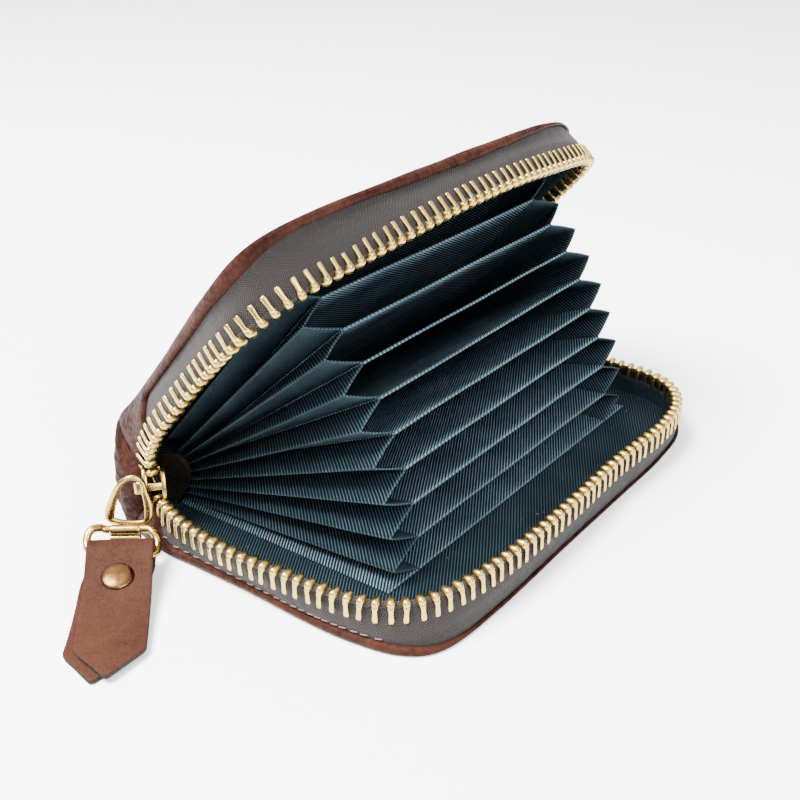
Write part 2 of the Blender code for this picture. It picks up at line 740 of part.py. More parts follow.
def build_spine(spine):
    """What turns half as far as the lid: the spine leather and the closed ends of the zip."""
    finish(spine_strip(), "spine_leather", LEATHER, spine)
    for name, side in (("near", -1), ("far", 1)):
        finish(closed_zip(side), f"zip_end_{name}", BRASS, spine)
        finish(end_patch(side), f"zip_patch_{name}", DARK_LEATHER, spine)
    finish(bottom_stop(), "zip_bottom_stop", BRASS, spine)


def build_accordion(lid):
    """The dividers in their fan, the two end panels and the pleats down both sides."""
    frames = panel_frames()
    finish(end_panel(PANEL_LOW, PANEL_LOW + PANEL_THICKNESS), "end_panel_lower", LINING)
    for number, (pivot, tilt) in enumerate(frames[1:], 1):
        leaf = finish(divider(), f"divider_{number}", LINING)
        leaf.matrix_world = Matrix.Translation(pivot) @ tilted(tilt)
    top = end_panel(-PANEL_THICKNESS / 2, PANEL_THICKNESS / 2)
    back = Vector((PIVOT_X, 0, PANEL_MID + PANEL_RISE))
    slope = math.asin(PANEL_RISE / DIVIDER_DEPTH)
    lay = Matrix.Translation(back) @ Matrix.Rotation(slope, 4, "Y") @ Matrix.Translation((-PIVOT_X, 0, 0))
    top.data.transform(lay)
    finish(top, "end_panel_upper", LINING, lid)
    pivot = lid.matrix_world @ back
    frames.append((pivot, OPEN_ANGLE + slope))
    for number, (lower, upper) in enumerate(zip(frames, frames[1:]), 1):
        for name, side in (("near", -1), ("far", 1)):
            finish(gusset(side, lower, upper), f"gusset_{name}_{number}", LINING)


def build_pull(slider):
    """The slider and all that hangs from its bail. The tab's tip lies on what the wallet stands on."""
    outer_face = SLIDER_CHANNEL / 2 + SLIDER_PLATE
    finish(slider_body(), "slider_body", BRASS, slider)
    ahead = BAIL_FRONT - BAIL_RADIUS - GAP - WIRE_RADIUS
    leg = HINGE + tilted(OPEN_ANGLE / 2) @ (SLIDER_PLACE + Vector((ahead, 0, 0)))
    leg.y = -TAPE_Y - outer_face - STIRRUP_CLEARANCE - WIRE_RADIUS
    upright = Matrix.Translation(leg) @ Matrix.Rotation(PULL_TURN, 4, "Z")
    pull = new_axis("pull_axis", slider, slider.matrix_world.inverted() @ upright)
    finish(smooth(stirrup()), "pull_stirrup", BRASS, pull)
    middle = -STIRRUP_WIDTH / 2
    apart = WIRE_RADIUS + GAP + KNUCKLE_RADIUS
    out = -apart * STIRRUP_OUT_SHARE
    drop = -STIRRUP_DROP - math.sqrt(apart**2 - out**2)
    roll = finish(smooth(knuckle()), "pull_knuckle", BRASS, pull)
    roll.location = (middle, out, drop)
    rest = (TAB_LENGTH + TAB_POINT) * math.sin(TAB_SLOPE) + (TAB_LEATHER + GAP) * math.cos(TAB_SLOPE)
    ring_slope = math.asin((leg.z + drop - rest) / RING_REACH)
    fall = Matrix.Rotation(ring_slope - math.radians(90), 4, "X")
    ring_axis = new_axis("ring_axis", pull, Matrix.Translation((middle, out, drop)) @ fall)
    finish(smooth(ring()), "pull_ring", BRASS, ring_axis)
    lie = Matrix.Rotation(TAB_SLOPE - ring_slope, 4, "X")
    tab_axis = new_axis("tab_axis", ring_axis, Matrix.Translation((0, 0, -RING_REACH)) @ lie)
    strap = rivet_hole(shape_tab_end(tab_leather()))
    finish(strap, "pull_tab", LEATHER, tab_axis)
    stud = finish(smooth(rivet()), "pull_rivet", BRASS, tab_axis)
    stud.location = (0, 0, -RIVET_FROM_FOLD)


clear_scene()
wallet = new_collection("leather_wallet")
cutters = new_collection("cutters")

bisector = tilted(OPEN_ANGLE / 2)
lid_axis = new_axis("lid_axis", None, Matrix.Translation(HINGE) @ tilted(OPEN_ANGLE))
turned_over = Matrix.Translation((0, 0, 2 * HALF_THICKNESS)) @ Matrix.Rotation(math.pi, 4, "X")
lid_frame = new_axis("lid_frame", lid_axis, Matrix.Translation(-HINGE) @ turned_over)
spine_axis = new_axis("spine_axis", None, Matrix.Translation(HINGE) @ bisector)
slider_axis = new_axis("slider_axis", spine_axis, Matrix.Translation(SLIDER_PLACE - Vector((0, TAPE_Y, 0))))
bpy.context.view_layer.update()

build_halves(lid_frame)
build_spine(spine_axis)
build_accordion(lid_frame)
build_pull(slider_axis)
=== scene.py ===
"""Looks for the zip-around accordion wallet: leather, twill pockets, woven zip tape, brass teeth and pull.

Half coordinates are used for both halves: x from the spine to the mouth, y along the spine with zero at
its middle, z from the cover's outer face to the zip's rim. place() puts them on the lower half or the lid.
"""

import json
import math

import bmesh
import bpy
from mathutils import Matrix, Vector, noise


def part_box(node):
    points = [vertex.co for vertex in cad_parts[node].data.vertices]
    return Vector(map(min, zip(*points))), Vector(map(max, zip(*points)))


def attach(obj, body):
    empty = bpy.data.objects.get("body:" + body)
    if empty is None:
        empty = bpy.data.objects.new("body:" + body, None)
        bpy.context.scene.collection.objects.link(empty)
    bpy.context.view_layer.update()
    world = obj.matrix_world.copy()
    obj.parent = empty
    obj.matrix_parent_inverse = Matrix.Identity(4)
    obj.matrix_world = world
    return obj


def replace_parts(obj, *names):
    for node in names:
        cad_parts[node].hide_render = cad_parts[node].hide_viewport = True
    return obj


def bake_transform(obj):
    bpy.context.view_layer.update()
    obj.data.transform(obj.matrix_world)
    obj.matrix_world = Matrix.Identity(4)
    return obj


MM = 0.001
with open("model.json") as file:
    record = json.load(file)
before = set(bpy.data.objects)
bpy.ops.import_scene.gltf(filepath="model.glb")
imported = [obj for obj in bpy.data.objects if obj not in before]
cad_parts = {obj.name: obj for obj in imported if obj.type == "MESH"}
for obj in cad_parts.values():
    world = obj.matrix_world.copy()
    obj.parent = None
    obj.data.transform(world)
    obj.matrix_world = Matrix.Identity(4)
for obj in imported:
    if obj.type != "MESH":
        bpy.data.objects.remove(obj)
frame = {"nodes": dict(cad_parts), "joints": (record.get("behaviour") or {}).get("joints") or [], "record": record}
nodes = frame["nodes"]
joints = {joint["name"]: joint for joint in frame["joints"]}
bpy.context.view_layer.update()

# Sizes read from the frame
COVER_LOW, COVER_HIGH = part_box("cover_lower_leather")
SPINE_X = COVER_LOW.x
DEPTH = COVER_HIGH.x - COVER_LOW.x
LENGTH = COVER_HIGH.y - COVER_LOW.y
HINGE = Vector(joints["cover_hinge"]["pos_m"])
OPEN = math.radians(-joints["cover_hinge"]["range_deg"][0])
HALF_THICKNESS = HINGE.z
BOARD_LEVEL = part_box("board_lower")[0].z
LINING_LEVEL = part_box("lining_lower")[1].z
DIVIDER_LOW, DIVIDER_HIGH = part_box("divider_1")
DIVIDER_WIDTH = DIVIDER_HIGH.y - DIVIDER_LOW.y
PANEL_LOW, PANEL_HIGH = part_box("end_panel_lower")
PLEAT_LOW, PLEAT_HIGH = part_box("gusset_far_1")
LEAF_COUNT = sum(name.startswith("divider_") for name in nodes)
PIVOTS = [Vector(joints[f"leaf_{i}_fold"]["pos_m"]) for i in range(1, LEAF_COUNT + 1)]
COUPLINGS = {pair["joint"]: pair["ratio"] for pair in frame["record"]["behaviour"]["couplings"]}
LEAF_STEP = OPEN * COUPLINGS["leaf_1_fold"]
DIVIDER_DEPTH = (DIVIDER_HIGH.x - DIVIDER_LOW.x) / math.cos(LEAF_STEP)
LEG = Vector(joints["stirrup_swing"]["pos_m"])
FOLD = Vector(joints["tab_swing"]["pos_m"])
ACROSS = Vector(joints["ring_swing"]["axis"])
OUT = Vector((ACROSS.y, -ACROSS.x, 0))
UP = Vector((0, 0, 1))

# Looks sizes
TAPE_THICKNESS = 0.6 * MM
TOOTH_PITCH = 2.45 * MM
SKIN_THICKNESS = 0.7 * MM
CLOTH_THICKNESS = 0.3 * MM
DIVIDER_THICKNESS = 0.45 * MM
TWILL_PITCH = 0.56 * MM
WEAVE_PITCH = 0.5 * MM

# Rim and base of each wall as (rim x, rim y, rim z, base x, base y) in mm, from the slider round to the
# far end. The rows bow between the corners, as a zip does that hangs open.
LOWER_WALL = (
    (10.4, -50.9, 9.3, 5.0, -52.0),
    (13.3, -52.1, 9.1, 9.5, -53.3),
    (17.9, -54.0, 9.3, 15.0, -54.4),
    (23.5, -55.3, 9.2, 24.0, -54.3),
    (34.0, -56.4, 9.1, 38.0, -54.2),
    (46.0, -56.0, 9.1, 50.0, -54.8),
    (58.5, -54.9, 9.1, 60.0, -54.6),
    (66.6, -51.8, 9.1, 69.0, -52.6),
    (71.6, -44.6, 9.1, 74.0, -47.0),
    (74.4, -29.0, 9.1, 75.2, -33.0),
    (74.9, -8.0, 9.1, 75.0, -8.0),
    (74.4, 12.0, 9.1, 75.0, 12.0),
    (75.3, 31.0, 9.1, 74.8, 31.0),
    (72.6, 44.0, 9.1, 73.0, 44.0),
    (64.5, 51.6, 9.1, 66.0, 52.6),
    (50.0, 53.6, 9.1, 50.0, 54.6),
    (28.0, 53.4, 9.2, 28.0, 54.6),
    (18.0, 53.2, 10.3, 14.0, 54.4),
    (14.4, 53.1, 12.2, 5.0, 52.0),
)
UPPER_WALL = (
    (10.6, -51.5, 14.4, 6.5, -47.3),
    (12.4, -52.1, 12.9, 9.5, -48.1),
    (15.5, -52.9, 11.6, 14.0, -48.1),
    (20.2, -54.2, 11.0, 19.5, -48.5),
    (26.0, -54.9, 10.5, 26.0, -49.1),
    (42.0, -54.5, 9.7, 44.0, -52.4),
    (57.0, -55.4, 10.2, 57.0, -54.8),
    (66.2, -48.6, 10.2, 67.0, -54.6),
    (69.8, -36.4, 10.1, 71.7, -49.4),
    (71.6, -24.6, 9.9, 73.4, -37.4),
    (73.0, -13.8, 9.6, 73.8, -20.0),
    (73.6, -2.0, 9.4, 74.2, -3.0),
    (73.3, 10.0, 9.3, 74.3, 12.0),
    (71.9, 23.0, 9.3, 73.4, 27.0),
    (68.6, 41.6, 9.3, 69.6, 40.6),
    (61.6, 51.0, 9.3, 62.0, 50.4),
    (46.0, 54.2, 9.3, 46.0, 53.8),
    (28.0, 53.6, 9.3, 28.0, 54.2),
    (18.0, 53.2, 10.3, 14.0, 53.6),
    (14.4, 53.1, 12.2, 6.5, 51.0),
)
WALLS = {"lower": LOWER_WALL, "upper": UPPER_WALL}
WALL_STEPS = 460

# How high the leather's rolled edge stands, in mm, at shares of the way round the wall.
LIP_HEIGHTS = {
    "lower": ((0.0, 2.2), (0.24, 2.0), (0.34, 0.9), (0.66, 0.7), (0.78, 1.6), (1.0, 2.2)),
    "upper": ((0.0, 2.7), (0.3, 2.7), (0.55, 2.2), (0.7, 0.7), (0.8, 1.6), (1.0, 2.4)),
}

# Beside the spine the leather climbs the wall to the teeth. Each span runs from where it starts to climb
# to where it is all the way up, as x in mm.
CLIMB_SPANS = {"lower": (19.5, 13.0), "upper": (23.0, 17.0)}
CLIMB_SHARE = 0.86

# How far round the wall the mouth's two corners are
NEAR_CORNER_SHARE = 0.26
FAR_CORNER_SHARE = 0.74

# The spine's round back, and the rounding of its two ends in plan
SPINE_STEPS = 30
SPINE_CORNER = 5.0 * MM


def smoothstep(value):
    value = min(max(value, 0.0), 1.0)
    return value * value * (3 - 2 * value)


def between(value, low, high):
    """How far value is from low to high, eased at both ends."""
    return smoothstep((value - low) / (high - low))


def in_mm(rows):
    """Rows of numbers in millimetres, in metres."""
    return [[value * MM for value in row] for row in rows]


def angles(count):
    """Angles spaced evenly round a turn."""
    return [2 * math.pi * k / count for k in range(count)]


def side_name(side):
    return "near" if side < 0 else "far"


def place(half, x, y, z):
    """A point in half coordinates, put in the frame."""
    if half == "lower":
        return Vector((SPINE_X + x, y, z))
    along = SPINE_X + x - HINGE.x
    rise = HALF_THICKNESS - z
    turn, lift = math.cos(OPEN), math.sin(OPEN)
    return Vector((HINGE.x + turn * along - lift * rise, y, HINGE.z + lift * along + turn * rise))


CURVE_STEPS = 24


def smooth_line(points, count, cyclic=False):
    """Points evenly spaced on a Catmull-Rom curve through the given ones, and the curve's length."""
    if cyclic:
        ends = [points[-1]] + list(points) + [points[0], points[1]]
    else:
        ends = [points[0]] + list(points) + [points[-1]]
    dense = []
    for before, here, there, after in zip(ends, ends[1:], ends[2:], ends[3:]):
        for i in range(CURVE_STEPS):
            t = i / CURVE_STEPS
            weights = (
                -0.5 * t**3 + t**2 - 0.5 * t,
                1.5 * t**3 - 2.5 * t**2 + 1,
                -1.5 * t**3 + 2 * t**2 + 0.5 * t,
                0.5 * t**3 - 0.5 * t**2,
            )
            four = (before, here, there, after)
            dense.append([sum(w * p[k] for w, p in zip(weights, four)) for k in range(len(here))])
    dense.append(list(points[0] if cyclic else points[-1]))
    travel = [0.0]
    for here, there in zip(dense, dense[1:]):
        travel.append(travel[-1] + math.dist(here[:3], there[:3]))
    line = []
    at = 0
    for i in range(count + 1):
        wanted = travel[-1] * i / count
        while at < len(travel) - 2 and travel[at + 1] < wanted:
            at += 1
        share = (wanted - travel[at]) / max(travel[at + 1] - travel[at], 1e-12)
        line.append([a + (b - a) * share for a, b in zip(dense[at], dense[at + 1])])
    return line, travel[-1]


class Wall:
    """One half's standing wall: its rim, its base and the outward direction at each step."""

    def __init__(self, half):
        self.half = half
        line, self.length = smooth_line(in_mm(WALLS[half]), WALL_STEPS)
        self.rim_x = [x for x, _, _, _, _ in line]
        self.rim = [place(half, x, y, z) for x, y, z, _, _ in line]
        self.base = [place(half, x, y, 0) for _, _, _, x, y in line]
        self.inward = (place(half, 0, 0, 1) - place(half, 0, 0, 0)).normalized()
        self.outward = [self._facing_out(i) for i in range(WALL_STEPS + 1)]

    def _facing_out(self, i):
        """Square to the base line, away from the middle of the cover."""
        ahead = self.base[min(i + 6, WALL_STEPS)] - self.base[max(i - 6, 0)]
        side = ahead.cross(self.inward).normalized()
        middle = place(self.half, DEPTH / 2, 0, 0)
        return side if side.dot(self.base[i] - middle) > 0 else -side

    def height(self, i):
        return (self.rim[i] - self.base[i]).length

    def point(self, i, up, out=0.0):
        """A point on the wall: up is 0 at the base and 1 at the rim, out is a distance outward."""
        return self.base[i].lerp(self.rim[i], up) + self.outward[i] * out

    def at(self, distance):
        """The rim's place at a distance along it, and the step before."""
        spot = min(max(distance / self.length, 0), 1) * WALL_STEPS
        i = min(int(spot), WALL_STEPS - 1)
        return self.rim[i].lerp(self.rim[i + 1], spot - i), i

    def leather_share(self, i):
        """How far up the wall the leather's edge stands."""
        share = i / WALL_STEPS
        marks = LIP_HEIGHTS[self.half]
        height = marks[-1][1]
        for (here, low), (there, high) in zip(marks, marks[1:]):
            if here <= share <= there:
                height = low + (high - low) * between(share, here, there)
                break
        start, top = CLIMB_SPANS[self.half]
        climb = between(self.rim_x[i] / MM, start, top)
        plain = height * MM / self.height(i)
        return plain + (CLIMB_SHARE - plain) * climb

    def part_way(self, line, step):
        """A point or direction on one of the wall's lines at a step that need not be whole."""
        i = min(int(step), WALL_STEPS - 1)
        return line[i].lerp(line[i + 1], step - i)


# Mesh helpers


def new_object(name, mesh):
    item = bpy.data.objects.new(name, mesh)
    bpy.context.scene.collection.objects.link(item)
    return item


def mesh_from(shape, name, smooth=True):
    """Turns a bmesh into a mesh with its faces pointing out."""
    bmesh.ops.recalc_face_normals(shape, faces=shape.faces)
    for face in shape.faces:
        face.smooth = smooth
    mesh = bpy.data.meshes.new(name)
    shape.to_mesh(mesh)
    shape.free()
    return mesh


def grid_mesh(name, rows, uvs=None, closed=False):
    """A mesh over rows of points, with a UV map in metres."""
    shape = bmesh.new()
    layer = shape.loops.layers.uv.new("cloth")
    grid = [[shape.verts.new(point) for point in row] for row in rows]
    columns = len(rows[0])
    last = columns if closed else columns - 1
    for i in range(len(rows) - 1):
        for j in range(last):
            k = (j + 1) % columns
            face = shape.faces.new((grid[i][j], grid[i][k], grid[i + 1][k], grid[i + 1][j]))
            if uvs:
                corners = (uvs[i][j], uvs[i][k], uvs[i + 1][k], uvs[i + 1][j])
                for loop, uv in zip(face.loops, corners):
                    loop[layer].uv = uv
    return mesh_from(shape, name)


def gather(name, parts):
    """One mesh made of copies of other meshes, each with its own place."""
    shape = bmesh.new()
    for mesh, where in parts:
        known = len(shape.verts)
        shape.from_mesh(mesh)
        shape.verts.ensure_lookup_table()
        bmesh.ops.transform(shape, matrix=where, verts=shape.verts[known:])
    return mesh_from(shape, name)


def frame_matrix(spot, along, side, up):
    """A placing matrix from an origin and three axes."""
    turn = Matrix((along, side, up)).transposed().to_4x4()
    return Matrix.Translation(spot) @ turn


PRISM_SHARP = math.radians(35)


def prism(outline, low, high, soft):
    """A flat outline in X and Y made solid from low to high, with its edges rounded by soft."""
    shape = bmesh.new()
    face = shape.faces.new([shape.verts.new((x, y, low)) for x, y in outline])
    raised = bmesh.ops.extrude_face_region(shape, geom=[face])["geom"]
    moved = [part for part in raised if isinstance(part, bmesh.types.BMVert)]
    bmesh.ops.translate(shape, verts=moved, vec=(0, 0, high - low))
    bmesh.ops.recalc_face_normals(shape, faces=shape.faces)
    sharp = [edge for edge in shape.edges if abs(edge.calc_face_angle(0)) > PRISM_SHARP]
    rounding = {"offset": soft, "segments": 3, "profile": 0.5, "affect": "EDGES", "clamp_overlap": True}
    bmesh.ops.bevel(shape, geom=sharp, **rounding)
    return mesh_from(shape, "prism")


def swept(points, widths, depths, normal, sides=12, cyclic=True):
    """A wire along points in a plane, with a half width in the plane and a half depth square to it."""
    rows = []
    count = len(points)
    for i, point in enumerate(points):
        before = points[i - 1] if cyclic or i else point
        after = points[(i + 1) % count] if cyclic or i < count - 1 else point
        side = (after - before).cross(normal).normalized()
        wide, deep = side * widths[i], normal * depths[i]
        rows.append([point + wide * math.cos(t) + deep * math.sin(t) for t in angles(sides)])
    if cyclic:
        rows.append(rows[0])
    shape = bmesh.new()
    shape.from_mesh(grid_mesh("wire", rows, closed=True))
    bmesh.ops.remove_doubles(shape, verts=shape.verts, dist=0.001 * MM)
    if not cyclic:
        bmesh.ops.holes_fill(shape, edges=[edge for edge in shape.edges if edge.is_boundary])
    return mesh_from(shape, "wire")


def settle(item):
    """Applies an object's modifiers to its mesh."""
    bpy.context.view_layer.update()
    graph = bpy.context.evaluated_depsgraph_get()
    mesh = bpy.data.meshes.new_from_object(item.evaluated_get(graph))
    item.modifiers.clear()
    item.data = mesh
    return item


def thicken(item, thickness, offset=0.0):
    shell = item.modifiers.new("thickness", "SOLIDIFY")
    shell.thickness = thickness
    shell.offset = offset
    return shell


def dress(item, material):
    item.data.materials.clear()
    item.data.materials.append(material)
    return item


def soften(item, width, angle=30):
    """Rounds the edges that are sharper than an angle in degrees."""
    soft = item.modifiers.new("edge", "BEVEL")
    soft.width = width
    soft.segments = 2
    soft.limit_method = "ANGLE"
    soft.angle_limit = math.radians(angle)


def cloth(name, rows, thickness, material):
    """A sheet of cloth from rows of points, each point paired with its place on the flat cloth."""
    points, places = [[[pair[part] for pair in row] for row in rows] for part in (0, 1)]
    item = new_object(name, grid_mesh(name, points, places))
    thicken(item, thickness)
    return dress(settle(item), material)


# Materials


def shader_for(name, roughness, metallic=0.0):
    material = bpy.data.materials.new(name)
    material.use_nodes = True
    shader = material.node_tree.nodes["Principled BSDF"]
    shader.inputs["Roughness"].default_value = roughness
    shader.inputs["Metallic"].default_value = metallic
    return material, material.node_tree, shader


def add(tree, kind, settings=None, **inputs):
    """A node with its settings and inputs; an input is a value or another node's output."""
    node = tree.nodes.new(kind)
    for key, value in (settings or {}).items():
        setattr(node, key, value)
    for key, value in inputs.items():
        socket = node.inputs[int(key[1:])] if key[0] == "i" and key[1:].isdigit() else node.inputs[key]
        if isinstance(value, bpy.types.NodeSocket):
            tree.links.new(value, socket)
        else:
            socket.default_value = value
    return node


def calc(tree, operation, *values):
    inputs = {f"i{k}": value for k, value in enumerate(values)}
    return add(tree, "ShaderNodeMath", {"operation": operation}, **inputs).outputs[0]


def plus(tree, first, second):
    return calc(tree, "ADD", first, second)


def minus(tree, first, second):
    return calc(tree, "SUBTRACT", first, second)


def times(tree, first, second):
    return calc(tree, "MULTIPLY", first, second)


def sine(tree, value):
    return calc(tree, "SINE", value)


def paint(tree, shader, colour):
    tree.links.new(colour, shader.inputs["Base Color"])


def mix(tree, factor, first, second):
    node = add(tree, "ShaderNodeMix", {"data_type": "RGBA"})
    for index, value in ((0, factor), (6, first), (7, second)):
        if isinstance(value, bpy.types.NodeSocket):
            tree.links.new(value, node.inputs[index])
        else:
            node.inputs[index].default_value = value
    return node.outputs[2]


def object_space(tree):
    return add(tree, "ShaderNodeTexCoord").outputs["Object"]


def cloth_space(tree):
    """The cloth's own coordinates in metres, as a vector and its two parts."""
    uv = add(tree, "ShaderNodeUVMap", {"uv_map": "cloth"}).outputs["UV"]
    split = add(tree, "ShaderNodeSeparateXYZ", None, Vector=uv)
    return uv, split.outputs[0], split.outputs[1]


def noise_at(tree, where, scale, detail=3.0, roughness=0.55):
    inputs = {"Vector": where, "Scale": scale, "Detail": detail, "Roughness": roughness}
    return add(tree, "ShaderNodeTexNoise", None, **inputs).outputs["Fac"]


def remap(tree, value, low, high, new_low=0.0, new_high=1.0):
    inputs = {"Value": value, "From Min": low, "From Max": high, "To Min": new_low, "To Max": new_high}
    return add(tree, "ShaderNodeMapRange", None, **inputs).outputs["Result"]


def bump(tree, shader, height, strength, distance, under=None):
    node = add(tree, "ShaderNodeBump", None, Height=height, Strength=strength, Distance=distance)
    if under is not None:
        tree.links.new(under, node.inputs["Normal"])
    tree.links.new(node.outputs["Normal"], shader.inputs["Normal"])
    return node.outputs["Normal"]


# Painted shade: the leather is painted darker from the first of these places towards the spine, where it lies in
# shade
SPINE_SHADE_FROM = SPINE_X + 15 * MM
SPINE_SHADE_TO = SPINE_X + 1 * MM
LEATHER_SPECULAR = 0.03
TWILL_SPECULAR = 0.01
LINT = (0.25, 0.28, 0.29, 1)
THREAD_DARK = (0.03, 0.014, 0.011, 1)
THREAD_PALE = (0.2, 0.13, 0.11, 1)
BOARD_DARK = (0.1, 0.085, 0.065, 1)
BOARD_PALE = (0.19, 0.165, 0.135, 1)
TABLE_DULL = (0.97, 0.98, 0.985, 1)
TABLE_WHITE = (0.99, 0.995, 1, 1)


def leather_material(name, light, dark, grain, roughness, relief):
    """Pebbled leather: small cells, drifts of darker dye and an uneven gloss, with painted shade that darkens it
    near the spine.
    """
    material, tree, shader = shader_for(name, roughness)
    where = object_space(tree)
    cells = add(tree, "ShaderNodeTexVoronoi", {"feature": "SMOOTH_F1"}, Vector=where, Scale=grain)
    fine = noise_at(tree, where, grain * 3.2, 4.0)
    drift = noise_at(tree, where, 90.0, 4.0, 0.6)
    creases = noise_at(tree, where, 420.0, 5.0, 0.7)
    pits = remap(tree, cells.outputs["Distance"], 0.25, 0.75)
    tone = plus(tree, times(tree, drift, 0.75), times(tree, creases, 0.45))
    tone = plus(tree, tone, times(tree, pits, 0.2))
    # Painted shade: the colour darkens towards the spine
    across_spine = add(tree, "ShaderNodeSeparateXYZ", None, Vector=where).outputs[0]
    spine_shade = remap(tree, across_spine, SPINE_SHADE_FROM, SPINE_SHADE_TO, 0.0, 0.5)
    colour = mix(tree, plus(tree, remap(tree, tone, 0.45, 0.9), spine_shade), light, dark)
    paint(tree, shader, colour)
    gloss = plus(tree, times(tree, creases, 0.35), times(tree, pits, 0.15))
    rough = remap(tree, gloss, 0.1, 0.4, roughness - 0.08, roughness + 0.16)
    tree.links.new(rough, shader.inputs["Roughness"])
    height = minus(tree, times(tree, fine, 0.3), pits)
    under = bump(tree, shader, creases, relief * 0.9, 0.4 * MM)
    bump(tree, shader, height, relief, 0.14 * MM, under)
    shader.inputs["Specular IOR Level"].default_value = LEATHER_SPECULAR
    return material


def twill_material(name, dark, rib, slant, highlight_edges=None):
    """Twill: close diagonal ribs, each broken into short floats, with a little lint.

    The edges given are the cloth coordinates along and across at which a painted highlight shows a paler folded
    edge.
    """
    material, tree, shader = shader_for(name, 0.78)
    uv, along, across = cloth_space(tree)
    turn = 2 * math.pi / (TWILL_PITCH * math.hypot(1, slant))
    diagonal = plus(tree, along, times(tree, across, slant))
    counter = minus(tree, along, times(tree, across, slant))
    wobble = times(tree, noise_at(tree, uv, 260.0, 2.0), 1.1)
    ribs = sine(tree, plus(tree, times(tree, diagonal, turn), wobble))
    floats = sine(tree, times(tree, counter, turn * 1.6))
    ribs = calc(tree, "POWER", remap(tree, ribs, -0.6, 1.0), 2.2)
    weave = times(tree, ribs, remap(tree, floats, -1.0, 1.0, 0.5, 1.0))
    worn = noise_at(tree, uv, 70.0, 4.0, 0.65)
    shade = times(tree, weave, remap(tree, worn, 0.35, 0.7, 0.5, 1.0))
    # Painted highlight: a paler band along each folded edge
    for place_at, value in highlight_edges or ():
        part = along if place_at == "along" else across
        off = calc(tree, "ABSOLUTE", minus(tree, part, value))
        shade = plus(tree, shade, remap(tree, off, 0.14 * MM, 0.36 * MM, 0.16, 0.0))
    colour = mix(tree, shade, dark, rib)
    fluff = noise_at(tree, uv, 1500.0, 1.0)
    rare = noise_at(tree, uv, 160.0, 1.0)
    specks = times(tree, remap(tree, fluff, 0.7, 0.78), remap(tree, rare, 0.58, 0.66))
    colour = mix(tree, times(tree, specks, 0.45), colour, LINT)
    paint(tree, shader, colour)
    bump(tree, shader, weave, 0.7, 0.14 * MM)
    shader.inputs["Specular IOR Level"].default_value = TWILL_SPECULAR
    return material


def tape_material():
    """Woven zip tape: a fine herringbone that turns across the tape, uneven as worn cloth is."""
    material, tree, shader = shader_for("zip_tape", 0.85)
    uv, along, across = cloth_space(tree)
    stretch = times(tree, noise_at(tree, uv, 170.0, 2.0), 0.7 * MM)
    zigzag = calc(tree, "PINGPONG", plus(tree, across, stretch), 1.25 * MM)
    turn = 2 * math.pi / WEAVE_PITCH
    ribs = sine(tree, times(tree, plus(tree, along, zigzag), turn))
    threads = sine(tree, times(tree, across, turn * 1.1))
    weave = times(tree, remap(tree, ribs, -0.8, 1.0), remap(tree, threads, -1.0, 1.0, 0.65, 1.0))
    fuzz = noise_at(tree, uv, 2600.0, 2.0)
    weave = times(tree, weave, remap(tree, fuzz, 0.3, 0.7, 0.6, 1.1))
    worn = noise_at(tree, uv, 120.0, 4.0, 0.6)
    colour = mix(tree, weave, TAPE_SHADE, TAPE_THREAD)
    colour = mix(tree, remap(tree, worn, 0.35, 0.7, 0.0, 0.45), colour, TAPE_WORN)
    paint(tree, shader, colour)
    bump(tree, shader, weave, 0.6, 0.12 * MM)
    shader.inputs["Sheen Weight"].default_value = 0.06
    shader.inputs["Specular IOR Level"].default_value = 0.2
    return material


def thread_material():
    """Twisted sewing thread: a fine slanted ply with worn, paler tops."""
    material, tree, shader = shader_for("thread", 0.7)
    where = object_space(tree)
    plies = add(tree, "ShaderNodeTexWave", {"bands_direction": "DIAGONAL"}, Vector=where, Scale=1400.0)
    colour = mix(tree, plies.outputs["Fac"], THREAD_DARK, THREAD_PALE)
    paint(tree, shader, colour)
    bump(tree, shader, plies.outputs["Fac"], 0.4, 0.05 * MM)
    return material


def brass_material(name, roughness, tint):
    """Polished brass with duller, browner patches and fine scratches."""
    material, tree, shader = shader_for(name, roughness, 1.0)
    where = object_space(tree)
    patches = noise_at(tree, where, 700.0, 4.0, 0.6)
    scratches = noise_at(tree, where, 5200.0, 2.0)
    worn = (tint[0] * 0.55, tint[1] * 0.46, tint[2] * 0.36, 1)
    colour = mix(tree, remap(tree, patches, 0.45, 0.8, 0.0, 0.5), tint, worn)
    paint(tree, shader, colour)
    rough = remap(tree, patches, 0.3, 0.75, roughness - 0.06, roughness + 0.18)
    tree.links.new(rough, shader.inputs["Roughness"])
    bump(tree, shader, plus(tree, scratches, patches), 0.14, 0.06 * MM)
    return material


def board_material():
    """Grey fibre board, seen only where the layers end."""
    material, tree, shader = shader_for("board", 0.85)
    fibres = noise_at(tree, object_space(tree), 1800.0, 4.0)
    colour = mix(tree, fibres, BOARD_DARK, BOARD_PALE)
    paint(tree, shader, colour)
    bump(tree, shader, fibres, 0.3, 0.1 * MM)
    return material


def table_material():
    material, tree, shader = shader_for("table", 0.8)
    mottle = noise_at(tree, object_space(tree), 30.0, 2.0)
    colour = mix(tree, mottle, TABLE_DULL, TABLE_WHITE)
    paint(tree, shader, colour)
    return material


TAPE_SHADE = (0.0036, 0.0028, 0.0026, 1)
TAPE_THREAD = (0.036, 0.028, 0.026, 1)
TAPE_WORN = (0.01, 0.0078, 0.0072, 1)
TWILL_DARK = (0.0014, 0.0036, 0.0052, 1)
TWILL_RIB = (0.04, 0.06, 0.071, 1)
# Painted light: the leaf and pleat colours are the lining's twill painted lighter, to brighten the shaded dividers
# and pleats
LEAF_DARK = (0.002, 0.006, 0.009, 1)
LEAF_RIB = (0.17, 0.25, 0.3, 1)
PLEAT_DARK = (0.0016, 0.0046, 0.0068, 1)
PLEAT_RIB = (0.062, 0.095, 0.113, 1)

